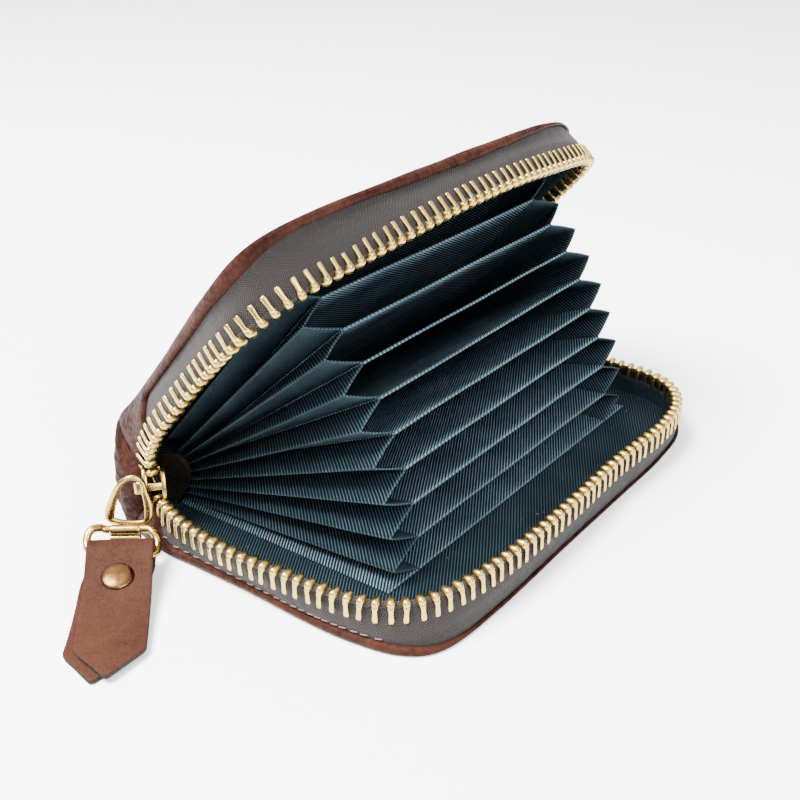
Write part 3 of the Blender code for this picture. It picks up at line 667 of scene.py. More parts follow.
COVER_DYES = (0.038, 0.0135, 0.0088, 1), (0.011, 0.0032, 0.0021, 1)
TAB_DYES = (0.043, 0.0172, 0.0108, 1), (0.023, 0.0078, 0.0048, 1)
RAW_DYES = (0.034, 0.024, 0.019, 1), (0.01, 0.007, 0.006, 1)
DARK_DYES = (0.011, 0.0085, 0.006, 1), (0.004, 0.0034, 0.003, 1)

# Each leather's dyes, the scale of its grain, its roughness and its relief
LEATHER = leather_material("leather", *COVER_DYES, 1300.0, 0.5, 0.5)
TAB_LEATHER = leather_material("tab_leather", *TAB_DYES, 2600.0, 0.5, 0.2)
RAW_EDGE = leather_material("leather_edge", *RAW_DYES, 2600.0, 0.75, 0.5)
DARK_LEATHER = leather_material("dark_leather", *DARK_DYES, 1500.0, 0.5, 0.3)
# Where the leaves and pleats get a painted highlight along their folded edges
LEAF_EDGE_HIGHLIGHTS = (("along", DIVIDER_DEPTH),)
PLEAT_EDGE_HIGHLIGHTS = (("along", DIVIDER_DEPTH), ("across", 0.0))
TWILL = twill_material("lining_twill", TWILL_DARK, TWILL_RIB, 0.6)
# The leaf and pleat twills carry painted light in their lighter colours
LEAF_TWILL = twill_material("leaf_twill", LEAF_DARK, LEAF_RIB, 0.6, LEAF_EDGE_HIGHLIGHTS)
PLEAT_TWILL = twill_material("pleat_twill", PLEAT_DARK, PLEAT_RIB, 1.0, PLEAT_EDGE_HIGHLIGHTS)
TAPE = tape_material()
THREAD = thread_material()
BRASS = brass_material("brass", 0.2, (0.4, 0.27, 0.085, 1))
RIVET_BRASS = brass_material("rivet_brass", 0.24, (0.1, 0.052, 0.02, 1))
TOOTH_BRASS = brass_material("tooth_brass", 0.26, (0.5, 0.345, 0.105, 1))
BOARD = board_material()


# Zip rows

# Where the tape's lengthwise lines are, from under the leather's edge to just below the rim
TAPE_SHARES = (0.0, 0.12, 0.26, 0.42, 0.58, 0.74, 0.88, 1.0)
TAPE_UNDERLAP = 0.1
TAPE_LOWEST = 0.02
TAPE_TOP = 0.965
TAPE_BOW = 0.7 * MM
TAPE_INSIDE = 0.5 * MM
TAPE_RIPPLE = 0.12 * MM


def tape_piece(wall):
    """The tape that stands from the leather's edge to the teeth, bowed a little outward."""
    rows = []
    for i in range(WALL_STEPS + 1):
        along = wall.length * i / WALL_STEPS
        foot = max(wall.leather_share(i) - TAPE_UNDERLAP, TAPE_LOWEST)
        row = []
        for share in TAPE_SHARES:
            up = foot + (TAPE_TOP - foot) * share
            ripple = TAPE_RIPPLE * noise.noise(Vector((along * 330, up * 2, 0)))
            out = TAPE_BOW * math.sin(math.pi * up) - TAPE_INSIDE + ripple
            row.append((wall.point(i, up, out), (along, wall.height(i) * up)))
        rows.append(row)
    return cloth(f"tape_{wall.half}", rows, TAPE_THICKNESS, TAPE)


# Where in its pitch each row's first tooth stands
TOOTH_PHASE = 0.5
TOOTH_OUT = 1.02 * MM
TOOTH_FOOT = -3.75 * MM
TOOTH_NECK = -0.9 * MM
LEG_HALF_WIDTH = 0.48 * MM
LEG_HALF_THICKNESS = 0.27 * MM
LEG_SIDES = 10
HEAD_HALF = Vector((0.8, 1.28, 0.86)) * MM
HEAD_DROP = 0.32 * MM

# A leg from its foot up: heights in mm over the foot, then shares of its half width and half thickness
LEG_STEPS = (0.12, 0.4, 0.9, 1.5, 2.1, 2.6)
LEG_WIDTHS = (0.45, 0.85, 1.03, 1.03, 0.92, 0.88, 0.95, 1.15, 1.2)
LEG_DEPTHS = (0.3, 0.75, 1, 1, 1, 1, 1.05, 1.3, 1.4)


def squared(value, power):
    """value drawn towards 1 or -1, which makes a circle squarer."""
    return math.copysign(abs(value) ** power, value)


def tooth_mesh():
    """One tooth about the tape's rim: a round head with a leg down each face.

    X runs along the chain and Y outward.
    """
    parts = []
    for side in (-1, 1):
        out = side * TOOTH_OUT
        spots = [Vector((0, side * (TOOTH_OUT - 0.1 * MM), TOOTH_FOOT))]
        spots += [Vector((0, out, TOOTH_FOOT + step * MM)) for step in LEG_STEPS]
        spots += [Vector((0, out * 0.9, TOOTH_NECK)), Vector((0, out * 0.6, 0))]
        rows = []
        for spot, wide, deep in zip(spots, LEG_WIDTHS, LEG_DEPTHS):
            ring = []
            for t in angles(LEG_SIDES):
                x = squared(math.cos(t), 0.6) * LEG_HALF_WIDTH * wide
                y = squared(math.sin(t), 0.6) * LEG_HALF_THICKNESS * deep
                ring.append(spot + Vector((x, y, 0)))
            rows.append(ring)
        shape = bmesh.new()
        shape.from_mesh(grid_mesh("leg", rows, closed=True))
        bmesh.ops.holes_fill(shape, edges=[edge for edge in shape.edges if edge.is_boundary])
        parts.append((mesh_from(shape, "leg"), Matrix()))
    head = bmesh.new()
    bmesh.ops.create_uvsphere(head, u_segments=16, v_segments=10, radius=1)
    for vert in head.verts:
        x, y, z = [squared(part, 0.82) * half for part, half in zip(vert.co, HEAD_HALF)]
        x *= 1 - 0.16 * smoothstep(z / HEAD_HALF.z) + 0.04 * smoothstep(-z / HEAD_HALF.z)
        vert.co = (x, y, z - HEAD_DROP)
    parts.append((mesh_from(head, "head"), Matrix()))
    return gather("tooth", parts)


def teeth_piece(wall):
    """All the teeth of one row, each square to the rim and standing in the wall's slope."""
    pattern = tooth_mesh()
    parts = []
    for number in range(int(wall.length / TOOTH_PITCH)):
        spot, i = wall.at((number + TOOTH_PHASE) * TOOTH_PITCH)
        before, after = max(i - 4, 0), min(i + 4, WALL_STEPS)
        along = (wall.rim[after] - wall.rim[before]).normalized()
        slope = (wall.rim[i] - wall.base[i]).normalized()
        out = along.cross(wall.inward * 0.6 + slope * 0.4).normalized()
        if out.dot(wall.outward[i]) < 0:
            along = -along
            out = -out
        spin = Matrix.Rotation(0.05 * math.sin(number * 2.3), 4, "Y")
        parts.append((pattern, frame_matrix(spot, -along, out, out.cross(along)) @ spin))
    return dress(new_object(f"teeth_{wall.half}", gather("teeth", parts)), TOOTH_BRASS)


BEAD_RADIUS = 0.52 * MM
BEAD_DROP = 0.95 * MM
BEAD_SIDES = 10


def bead_piece(wall):
    """The rolled edge of the tape that the teeth are clenched on."""
    rows, uvs = [], []
    for i in range(0, WALL_STEPS + 1, 2):
        along = wall.length * i / WALL_STEPS
        centre = wall.rim[i] - wall.inward * BEAD_DROP
        turns = [(t, wall.outward[i] * math.cos(t) + wall.inward * math.sin(t)) for t in angles(BEAD_SIDES)]
        rows.append([centre + way * BEAD_RADIUS for _, way in turns])
        uvs.append([(along, t * BEAD_RADIUS) for t, _ in turns])
    item = new_object(f"bead_{wall.half}", grid_mesh("bead", rows, uvs, closed=True))
    return dress(item, TAPE)


STITCH_PITCH = 2.1 * MM
STITCH_LENGTH = 1.5 * MM
STITCH_RADIUS = 0.13 * MM


def stitch_piece(wall):
    """Sewing thread along the leather's near edge, which holds it to the tape."""
    spots = [Vector((0, 0, -STITCH_LENGTH / 2))]
    spots += [Vector((0.08 * MM * math.cos(t), 0, STITCH_LENGTH / 2 * math.sin(t))) for t in (-0.9, 0, 0.9)]
    spots += [Vector((0, 0, STITCH_LENGTH / 2))]
    widths = [STITCH_RADIUS * share for share in (0.3, 1, 1, 1, 0.3)]
    pattern = swept(spots, widths, widths, Vector((0, 1, 0)), 8, cyclic=False)
    parts = []
    for number in range(1, int(wall.length * NEAR_CORNER_SHARE / STITCH_PITCH)):
        _, i = wall.at(number * STITCH_PITCH)
        share = wall.leather_share(i)
        if share > 0.5:
            continue
        ahead = (wall.base[min(i + 3, WALL_STEPS)] - wall.base[max(i - 3, 0)]).normalized()
        side = wall.outward[i]
        spot = wall.point(i, share + 0.045, TAPE_BOW * math.sin(math.pi * share) - TAPE_INSIDE + 0.42 * MM)
        lean = Matrix.Rotation(math.radians(9), 4, "X")
        parts.append((pattern, frame_matrix(spot, side, ahead.cross(side), ahead) @ lean))
    return dress(new_object(f"stitches_{wall.half}", gather("stitches", parts)), THREAD)


# Board and lining


def floor_rows(wall, level, inset):
    """A sheet over the inside of a cover at one level over its outer face, in from the wall by inset."""
    edges = []
    for steps in edge_steps():
        feet = [(wall.part_way(wall.base, step), wall.part_way(wall.outward, step)) for step in steps]
        edges.append([foot - out * inset + wall.inward * level for foot, out in feet])
    near, far, mouth = edges
    spine = [near[0].lerp(far[0], share) for share in COLUMN_SHARES]
    return coons(near, far, spine, mouth, COLUMN_SHARES)


def lid_flat(half, point):
    """A point's distance from the hinge along its cover."""
    rel = point - HINGE
    return rel.x if half == "lower" else rel.x * math.cos(OPEN) + rel.z * math.sin(OPEN)


BOARD_THICKNESS = 0.5 * MM
BOARD_INSET = 1.9 * MM


def board_piece(wall):
    """The stiffener inside a cover."""
    rows = floor_rows(wall, BOARD_LEVEL + BOARD_THICKNESS, BOARD_INSET)
    rows = [[(point, (point.x, point.y)) for point in row] for row in rows]
    return cloth(f"stiffener_{wall.half}", rows, BOARD_THICKNESS, BOARD)


LINING_INSET = 2.3 * MM
SKIRT_SHARES = (0.08, 0.25, 0.5, 0.75, 1.0)
SKIRT_TOP = 0.74
SKIRT_INSIDE = 1.35 * MM
SKIRT_FLARE = 0.7 * MM


def lining_piece(wall):
    """The lining's flat floor."""
    rows = floor_rows(wall, LINING_LEVEL + 0.15 * MM, LINING_INSET)
    rows = [[(point, (lid_flat(wall.half, point), point.y)) for point in row] for row in rows]
    return cloth(f"lining_cloth_{wall.half}", rows, CLOTH_THICKNESS, TWILL)


def skirt_piece(wall):
    """The part of the lining that climbs the inside of the tape."""
    rows = []
    for i in range(WALL_STEPS + 1):
        foot = wall.base[i] - wall.outward[i] * (LINING_INSET + 0.1 * MM) + wall.inward * LINING_LEVEL
        start = lid_flat(wall.half, foot)
        low = LINING_LEVEL / wall.height(i)
        row = [(foot, (start, foot.y))]
        for share in SKIRT_SHARES:
            up = low + (SKIRT_TOP - low) * share
            point = wall.point(i, up, -SKIRT_INSIDE - SKIRT_FLARE * (1 - share) ** 2)
            lift = (point - foot).dot(wall.inward)
            row.append((point, (start + lift, foot.y + lift)))
        rows.append(row)
    return cloth(f"lining_skirt_{wall.half}", rows, CLOTH_THICKNESS, TWILL)


# Leather


def coons(near, far, spine, mouth, shares):
    """A grid filled in between four edges that share their corners. shares are the columns' places."""
    rows = []
    last_u = len(near) - 1
    for i in range(last_u + 1):
        u = i / last_u
        row = []
        for j, v in enumerate(shares):
            ruled = near[i] * (1 - v) + far[i] * v + spine[j] * (1 - u) + mouth[j] * u
            corners = near[0] * (1 - u) * (1 - v) + far[0] * (1 - u) * v
            corners += near[-1] * u * (1 - v) + far[-1] * u * v
            row.append(ruled - corners)
        rows.append(row)
    return rows


SKIN_STEPS = 64
SKIN_ACROSS = 220
EVEN_SHARE = 0.35


def column_share(j):
    """Where column j stands across the skin: the columns are closer together near its two ends."""
    even = j / SKIN_ACROSS
    return EVEN_SHARE * even + (1 - EVEN_SHARE) * (0.5 - 0.5 * math.cos(math.pi * even))


COLUMN_SHARES = [column_share(j) for j in range(SKIN_ACROSS + 1)]


def edge_steps():
    """The wall's steps along a cover's near, mouth and far edges, as the skin's grid uses them."""
    near_end = int(WALL_STEPS * NEAR_CORNER_SHARE)
    far_end = int(WALL_STEPS * FAR_CORNER_SHARE)
    near = [near_end * i / SKIN_STEPS for i in range(SKIN_STEPS + 1)]
    far = [WALL_STEPS - (WALL_STEPS - far_end) * i / SKIN_STEPS for i in range(SKIN_STEPS + 1)]
    mouth = [near_end + (far_end - near_end) * share for share in COLUMN_SHARES]
    return near, far, mouth


def cover_rows(wall):
    """The outer face of one cover as rows from its spine edge to its mouth edge."""
    near, far, mouth = [[wall.part_way(wall.base, step) for step in steps] for steps in edge_steps()]
    spine = [near[0].lerp(far[0], share) for share in COLUMN_SHARES]
    return coons(near, far, spine, mouth, COLUMN_SHARES)


def lid_back():
    """The direction along the lid towards the spine."""
    return (place("upper", 0, 0, 0) - place("upper", DEPTH, 0, 0)).normalized()


def bend_rows(low_edge, high_edge, low_reach, high_reach, corner):
    """Rows across the spine from the lower cover's edge to the lid's, drawn in at both ends."""
    rows = []
    first, last = low_edge[0].y, low_edge[-1].y
    for i in range(1, SPINE_STEPS):
        t = i / SPINE_STEPS
        row = []
        for low, high in zip(low_edge, high_edge):
            beside = max(corner - min(low.y - first, last - low.y), 0)
            pull = corner - math.sqrt(corner**2 - beside**2)
            low_knee = low + low_reach * (1 - pull / low_reach.length)
            high_knee = high + high_reach * (1 - 0.6 * pull / high_reach.length)
            first_half = low * (1 - t) ** 3 + low_knee * 3 * t * (1 - t) ** 2
            row.append(first_half + high_knee * 3 * t * t * (1 - t) + high * t**3)
        rows.append(row)
    return rows


ROLL_STEPS = 9
ROLL_BULGE = {"lower": 0.95 * MM, "upper": 1.15 * MM}
CAP_BULGE = 1.3 * MM
END_BULGE = 2.9 * MM
TUCK = 0.75 * MM
TUCK_SHARE = 0.7


def roll_points(edge, target, out, bulge):
    """The leather's rolled edge from the outer face to the wall, and the last of it tucked in."""
    points = []
    for k in range(1, ROLL_STEPS + 1):
        t = math.pi * k / ROLL_STEPS
        points.append(edge + (target - edge) * (1 - math.cos(t)) / 2 + out * bulge * math.sin(t) ** 0.85)
    tuck = min(TUCK, bulge * TUCK_SHARE)
    points.append(target - out * tuck + (edge - target).normalized() * 0.15 * MM)
    return points


def wall_roll(wall, step):
    """Target, direction and bulge of the rolled edge at one step of a wall, whole or not."""
    base, rim, out = [wall.part_way(line, step) for line in (wall.base, wall.rim, wall.outward)]
    i = min(int(step), WALL_STEPS - 1)
    share = wall.leather_share(i)
    share += (wall.leather_share(i + 1) - share) * (step - i)
    target = base.lerp(rim, share) + out * 0.35 * MM
    capped = smoothstep((share - 0.35) / 0.4)
    plain = min(ROLL_BULGE[wall.half], share * (rim - base).length * 0.55)
    return target, out, plain * (1 - capped) + CAP_BULGE * capped


def skin_loop(lower, upper, total):
    """Every edge point of the skin's grid, in order, as (row, column, target, direction, bulge)."""
    near, far, mouth = edge_steps()
    loop = []
    for j in range(SKIN_ACROSS + 1):
        loop.append((0, j, *wall_roll(lower, mouth[j])))
    for column, steps in ((SKIN_ACROSS, far), (0, near)):
        side = []
        for i in range(SKIN_STEPS - 1, -1, -1):
            side.append((SKIN_STEPS - i, column, *wall_roll(lower, steps[i])))
        low_target, high_target = [wall_roll(wall, steps[0])[0] for wall in (lower, upper)]
        out = Vector((0, 1 if column else -1, 0))
        for i in range(1, SPINE_STEPS):
            share = i / SPINE_STEPS
            target = low_target.lerp(high_target, smoothstep(share))
            bulge = CAP_BULGE + (END_BULGE - CAP_BULGE) * math.sin(math.pi * share)
            side.append((SKIN_STEPS + i, column, target, out, bulge))
        for i in range(SKIN_STEPS):
            side.append((total - 1 - SKIN_STEPS + i, column, *wall_roll(upper, steps[i])))
        if column:
            loop += side
            loop += [(total - 1, j, *wall_roll(upper, mouth[j])) for j in range(SKIN_ACROSS, -1, -1)]
        else:
            loop += reversed(side)
    return loop


SKIN_LOW_REACH = Vector((-9.0, 0, 0.3)) * MM
SKIN_HIGH_REACH = 5 * MM


def leather_piece(lower, upper):
    """Both covers and the spine as one skin, with its edge rolled up round the outside."""
    low_rows, high_rows = cover_rows(lower), cover_rows(upper)
    spine = bend_rows(low_rows[0], high_rows[0], SKIN_LOW_REACH, lid_back() * SKIN_HIGH_REACH, SPINE_CORNER)
    rows = list(reversed(low_rows)) + spine + high_rows
    shape = bmesh.new()
    grid = [[shape.verts.new(point) for point in row] for row in rows]
    for i in range(len(rows) - 1):
        for j in range(SKIN_ACROSS):
            shape.faces.new((grid[i][j], grid[i][j + 1], grid[i + 1][j + 1], grid[i + 1][j]))
    loop = skin_loop(lower, upper, len(rows))
    columns = []
    for i, j, target, out, bulge in loop:
        points = roll_points(rows[i][j], target, out, bulge)
        columns.append([grid[i][j]] + [shape.verts.new(point) for point in points])
    for here, there in zip(columns, columns[1:] + columns[:1]):
        for k in range(len(here) - 1):
            shape.faces.new((here[k], there[k], there[k + 1], here[k + 1]))
    item = new_object("leather_skin", mesh_from(shape, "leather_skin"))
    wrinkle(item, upper)
    thicken(item, SKIN_THICKNESS, -1.0)
    item = dress(settle(item), LEATHER)
    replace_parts(item, "cover_lower_leather", "cover_upper_leather", "spine_leather")
    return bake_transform(item)


def ridge(x, y, z):
    """Noise folded into sharp ridges."""
    return 1 - abs(noise.noise(Vector((x, y, z)))) * 2.4


def wrinkle(item, upper):
    """Slack in the skin: creases where the spine folds and along the lid's gathered edge."""
    lid_along = place("upper", 1, 0, 0) - place("upper", 0, 0, 0)
    normals = [vert.normal.copy() for vert in item.data.vertices]
    for vert, normal in zip(item.data.vertices, normals):
        spot = vert.co.copy()
        x, y, z = spot
        hinge_off = math.hypot(x - SPINE_X - 1 * MM, z - HINGE.z) / (12 * MM)
        end_off = (LENGTH / 2 - abs(y)) / (9 * MM)
        slack = math.exp(-(hinge_off**2)) * (0.22 + math.exp(-(end_off**2)))
        ridges = ridge(x * 330 + z * 160, y * 300, z * 400)
        fine = ridge(z * 700, x * 620, y * 560)
        soft = noise.noise(spot * 110)
        lifted = (spot - HINGE).dot(upper.inward)
        on_lid = smoothstep((z - 12 * MM) / (8 * MM))
        edge = smoothstep((HALF_THICKNESS * -0.35 - lifted) / (-2 * MM)) * on_lid
        along = (spot - HINGE).dot(lid_along)
        mouth = smoothstep((along - 64 * MM) / (5 * MM)) * smoothstep((44 * MM - abs(y)) / (6 * MM))
        gather_wave = math.sin(y * 2400 + 3 * noise.noise(Vector((y * 150, 0, along * 200))))
        loose = noise.noise(Vector((y * 620, z * 90, 0)))
        gathered = edge * mouth * (0.16 * gather_wave + 0.3 * loose)
        above = smoothstep((z - 1.5 * MM) / (1.5 * MM))
        move = (ridges * 0.5 + fine * 0.2) * slack + soft * 0.16 * above + gathered
        vert.co = spot + normal * move * MM


LINING_INSIDE_END = 2.2 * MM
LINING_START = 9 * MM
LINING_LOW_REACH = Vector((-9.5, 0, 0)) * MM
LINING_HIGH_REACH = 5.6 * MM
END_ROWS = 4


def spine_lining_piece(lower, upper):
    """The lining behind the spine, from one cover's lining to the other's, which closes both ends."""
    level = LINING_LEVEL + 0.1 * MM
    near_end, far_end = lower.base[0].y + LINING_INSIDE_END, lower.base[-1].y - LINING_INSIDE_END
    low, high = [], []
    for share in COLUMN_SHARES:
        y = near_end * (1 - share) + far_end * share
        low.append(place("lower", LINING_START, y, level))
        high.append(place("upper", LINING_START, y, level))
    bend = bend_rows(low, high, LINING_LOW_REACH, lid_back() * LINING_HIGH_REACH, SPINE_CORNER)
    rows = [low] + bend + [high]
    targets = [[wall_roll(wall, step)[0] for wall in (lower, upper)] for step in (0, WALL_STEPS)]
    full = []
    for i, row in enumerate(rows):
        share = smoothstep(i / (len(rows) - 1))
        ends = []
        for (low_target, high_target), end, side in zip(targets, (row[0], row[-1]), (1, -1)):
            goal = low_target.lerp(high_target, share) + Vector((0, side * LINING_INSIDE_END, 0))
            ends.append([end.lerp(goal, k / END_ROWS) for k in range(END_ROWS, 0, -1)])
        line = ends[0] + row + list(reversed(ends[1]))
        full.append([(point, (i * 0.9 * MM, point.y)) for point in line])
    item = cloth("lining_cloth_spine", full, CLOTH_THICKNESS, TWILL)
    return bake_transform(item)


# Accordion


def panel_frame(k):
    """Back corner, direction to the mouth and upward normal of panel k.

    Panel 0 is the lower cover's, the last is the lid's, and the dividers are between them.
    """
    if k == 0:
        middle = (PANEL_LOW.z + PANEL_HIGH.z) / 2
        return Vector((PANEL_LOW.x, 0, middle)), Vector((1, 0, 0)), Vector((0, 0, 1))
    if k <= LEAF_COUNT:
        tilt = LEAF_STEP * k
        along = Vector((math.cos(tilt), 0, math.sin(tilt)))
        return PIVOTS[k - 1], along, Vector((-along.z, 0, along.x))
    corners = [vert.co for vert in nodes["end_panel_upper"].data.vertices]
    back = min(corners, key=lambda c: c.z)
    front = max(corners, key=lambda c: c.z)
    along = Vector((front.x - back.x, 0, front.z - back.z)).normalized()
    return Vector((back.x, 0, back.z)), along, Vector((-along.z, 0, along.x))


CLOTH_DEPTHS = 30
PANEL_ACROSS = 60
PLEAT_HALF_STEPS = 8


def panel_piece(name, k, half_width, material, give):
    """A sheet of twill from the spine to its mouth edge. give is how far it waves out of flat."""
    back, along, normal = panel_frame(k)
    rows = []
    for i in range(CLOTH_DEPTHS + 1):
        deep = DIVIDER_DEPTH * i / CLOTH_DEPTHS
        lift = give * (i / CLOTH_DEPTHS) ** 2
        row = []
        for j in range(PANEL_ACROSS + 1):
            y = half_width * (2 * j / PANEL_ACROSS - 1)
            wave = noise.noise(Vector((deep * 45, y * 38, k * 3.7))) * lift
            dip = math.sin(math.pi * j / PANEL_ACROSS) * lift
            row.append((back + along * (deep - dip) + Vector((0, y, 0)) + normal * wave, (deep, y)))
        rows.append(row)
    return cloth(name, rows, DIVIDER_THICKNESS, material)


def pleat_piece(k, side):
    """The side pleat of pocket k: two cloth leaves from the panels to one outer fold."""
    low_back, low_along, low_normal = panel_frame(k - 1)
    high_back, high_along, high_normal = panel_frame(k)
    root = DIVIDER_WIDTH / 2 - 0.2 * MM
    reach = PLEAT_HIGH.y - PLEAT_LOW.y
    rows = []
    for i in range(CLOTH_DEPTHS + 1):
        forward = i / CLOTH_DEPTHS
        deep = DIVIDER_DEPTH * forward
        low = low_back + low_along * deep + low_normal * DIVIDER_THICKNESS / 2
        high = high_back + high_along * deep - high_normal * DIVIDER_THICKNESS / 2
        rise = (high - low).length / 2
        fold = math.sqrt(max(reach**2 - rise**2, 0))
        middle = (low + high) / 2
        sway = noise.noise(Vector((deep * 60, k * 5.1, side))) * 0.15 * MM * forward
        row = []
        for j in range(-PLEAT_HALF_STEPS, PLEAT_HALF_STEPS + 1):
            t = abs(j) / PLEAT_HALF_STEPS
            edge, way = (high, 1) if j > 0 else (low, -1)
            belly = 0.16 * MM * math.sin(math.pi * t) * way * forward
            out = Vector((0, side * (root + fold * (1 - t)), 0))
            point = middle.lerp(edge, t) + out + low_normal * (belly + sway * (1 - t))
            row.append((point, (deep, reach * j / PLEAT_HALF_STEPS)))
        rows.append(row)
    item = cloth(f"pleat_{side_name(side)}_{k}", rows, CLOTH_THICKNESS, PLEAT_TWILL)
    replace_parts(item, f"gusset_{side_name(side)}_{k}")
    if k == LEAF_COUNT + 1:
        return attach(item, f"leaf_{LEAF_COUNT}")
    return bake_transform(item)


# Closed ends of the zip

END_DEEP = 4.6 * MM
END_TEETH = 5
END_SCALE = 0.8
END_TAPE_LENGTH = 9.5 * MM
END_TAPE_RISE = 3.6 * MM
END_TAPE_STEPS = 12
PATCH_THICKNESS = 0.9 * MM
PATCH_STEPS = 24
PATCH_LOW = 4.4
PATCH_HIGH = 15.6

# The flap's low left, low right, right, high right, high left and left points, from the spine and up, in mm
PATCH_OUTLINE = ((0.5, 5.6), (10.8, 4.8), (12.9, 11.6), (10.9, 15.0), (5.4, 14.9), (0.8, 13.6))


def end_piece(side):
    """The short meshed run of zip beside the spine, on its strip of tape, tucked inside the leather."""
    name = side_name(side)
    along = Vector((math.cos(OPEN / 2), 0, math.sin(OPEN / 2)))
    over = Vector((-along.z, 0, along.x))
    out = Vector((0, side, 0))
    start = Vector((HINGE.x, side * (LENGTH / 2 - END_DEEP), HINGE.z)) + along * 1.2 * MM
    pattern = tooth_mesh()
    pattern.transform(Matrix.Scale(END_SCALE, 4))
    parts = []
    for number in range(END_TEETH):
        for turn in (-1, 1):
            spot = start + along * (number + turn * 0.25) * TOOTH_PITCH * END_SCALE
            up = over * turn
            parts.append((pattern, frame_matrix(spot + up * 0.4 * MM, out.cross(up), out, up)))
    chain = dress(new_object(f"closed_teeth_{name}", gather("closed_teeth", parts)), TOOTH_BRASS)
    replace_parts(chain, f"zip_end_{name}")
    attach(chain, "spine")
    rows = []
    for i in range(END_TAPE_STEPS + 1):
        reach = END_TAPE_LENGTH * i / END_TAPE_STEPS
        row = []
        for j in range(-6, 7):
            rise = END_TAPE_RISE * j / 6
            point = start + along * (reach - 0.6 * MM) + over * rise + out * 0.06 * MM * (j % 2)
            row.append((point, (reach, rise)))
        rows.append(row)
    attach(cloth(f"closed_tape_{name}", rows, TAPE_THICKNESS, TAPE), "spine")


def patch_piece(side):
    """The dark leather flap that hides the tape ends, curved off the spine."""
    rows = []
    for i in range(PATCH_STEPS + 1):
        row = []
        for j in range(PATCH_STEPS + 1):
            x, z = patch_spot(i / PATCH_STEPS, j / PATCH_STEPS)
            belly = math.sin(math.pi * (z - PATCH_LOW) / (PATCH_HIGH - PATCH_LOW))
            deep = 5.8 + 4.4 * smoothstep(x / 13.0) + 0.5 * belly
            row.append(Vector((SPINE_X + x * MM, side * (LENGTH / 2 - deep * MM), z * MM)))
        rows.append(row)
    item = dress(new_object(f"patch_{side_name(side)}", grid_mesh("patch", rows)), DARK_LEATHER)
    thicken(item, PATCH_THICKNESS)
    soften(item, 0.2 * MM)
    settle(item)
    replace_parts(item, f"zip_patch_{side_name(side)}")
    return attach(item, "spine")


def patch_spot(across, up):
    """A place on the flap in mm: across runs from the spine, up from its low edge."""
    low_left, low_right, right, high_right, high_left, left = [Vector(point) for point in PATCH_OUTLINE]
    low_edge = low_left.lerp(low_right, across)
    high_edge = high_left.lerp(high_right, across)
    low_edge.y += 0.9 * max(0.18 - across, 0) / 0.18 + 1.1 * max(across - 0.86, 0) / 0.14
    spot = low_edge.lerp(high_edge, up)
    belly = 4 * up * (1 - up)
    spot += (right - low_right.lerp(high_right, 0.6)) * belly * across**2
    spot += (left - low_left.lerp(high_left, 0.6)) * belly * (1 - across) ** 2 * 0.4
    return spot


# Slider

SLIDER_YAW = math.radians(40)
SLIDER_RISE = math.radians(25)
SLIDER_MOUTH = Vector((SPINE_X + 11.7 * MM, -LENGTH / 2 + 2.8 * MM, 11.7 * MM))
PLATE_HALF = 3.75 * MM
PLATE_TAIL = 2.6 * MM
PLATE_THICKNESS = 0.95 * MM
PLATE_GAP = 2.4 * MM
SLIDER_BACK = -7.6 * MM
SLIDER_FRONT = 1.3 * MM
SLIDER_ANGLES = (0, 0.5, 0.95, 1.35)
LUG_HALF_WIDTH = 1.15 * MM

# Outlines in mm along the slider: the flange's outer line and the post from above, the lug from the side
FLANGE_LINE = ((-1.0, 3.6), (-2.9, 3.45), (-4.8, 2.75), (-7.1, 2.5))
FLANGE_WIDTH = 0.75
POST_OUTLINE = ((1.15, -0.72), (1.15, 0.72), (-1.6, 0.55), (-1.6, -0.55))
LUG_OUTLINE = ((-4.2, 0), (-3.5, 1.45), (-2.9, 1.75), (-0.6, 1.75), (0.1, 1.45), (0.7, 0))


def slider_outline():
    """The slider's plan: wide and round where the rows part, narrow at the back."""
    front = [(SLIDER_FRONT - 1.5 * MM * (1 - math.cos(t)), PLATE_HALF * math.sin(t)) for t in SLIDER_ANGLES]
    edge = [(-1.2 * MM, PLATE_HALF), (-2.9 * MM, PLATE_HALF * 0.95), (-4.8 * MM, PLATE_TAIL * 1.08)]
    back = [(SLIDER_BACK + 0.6 * MM, PLATE_TAIL), (SLIDER_BACK, PLATE_TAIL * 0.75)]
    upper = front + edge + back
    return upper + [(x, -y) for x, y in reversed(upper) if y]


def slider_piece():
    """Two plates with turned-in sides, the post between them and the lug that holds the stirrup."""
    plan = slider_outline()
    middle = PLATE_GAP / 2
    top = middle + PLATE_THICKNESS
    waist = middle + PLATE_THICKNESS / 2
    solids = []
    for side in (-1, 1):
        low, high = sorted((side * middle, side * top))
        solids.append(prism(plan, low, high, 0.25 * MM))
        low, high = sorted((side * middle * 0.55, side * waist))
        for turn in (-1, 1):
            rim = [(x, turn * y) for x, y in FLANGE_LINE]
            rim += [(x, y - turn * FLANGE_WIDTH) for x, y in reversed(rim)]
            solids.append(prism(in_mm(rim), low, high, 0.15 * MM))
    solids.append(prism(in_mm(POST_OUTLINE), -waist, waist, 0.2 * MM))
    parts = [(solid, Matrix()) for solid in solids]
    lug = [(x, y + top - 0.1 * MM) for x, y in in_mm(LUG_OUTLINE)]
    stand = Matrix.Rotation(math.radians(90), 4, "X")
    parts.append((prism(lug, -LUG_HALF_WIDTH, LUG_HALF_WIDTH, 0.3 * MM), stand))
    outward = Vector((-math.sin(SLIDER_YAW), -math.cos(SLIDER_YAW), 0))
    level = Vector((math.cos(SLIDER_YAW), -math.sin(SLIDER_YAW), 0))
    along = level * math.cos(SLIDER_RISE) + UP * math.sin(SLIDER_RISE)
    mesh = gather("slider_plates", parts)
    mesh.transform(frame_matrix(SLIDER_MOUTH, along, outward.cross(along), outward))
    item = dress(new_object("slider_plates", mesh), BRASS)
    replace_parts(item, "slider_body")
    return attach(item, "slider")


# Pull


def pull_point(across, out, up):
    """A point beside the stirrup's axis, in mm across the pull, out from it and up."""
    return LEG + (ACROSS * across + OUT * out + UP * up) * MM


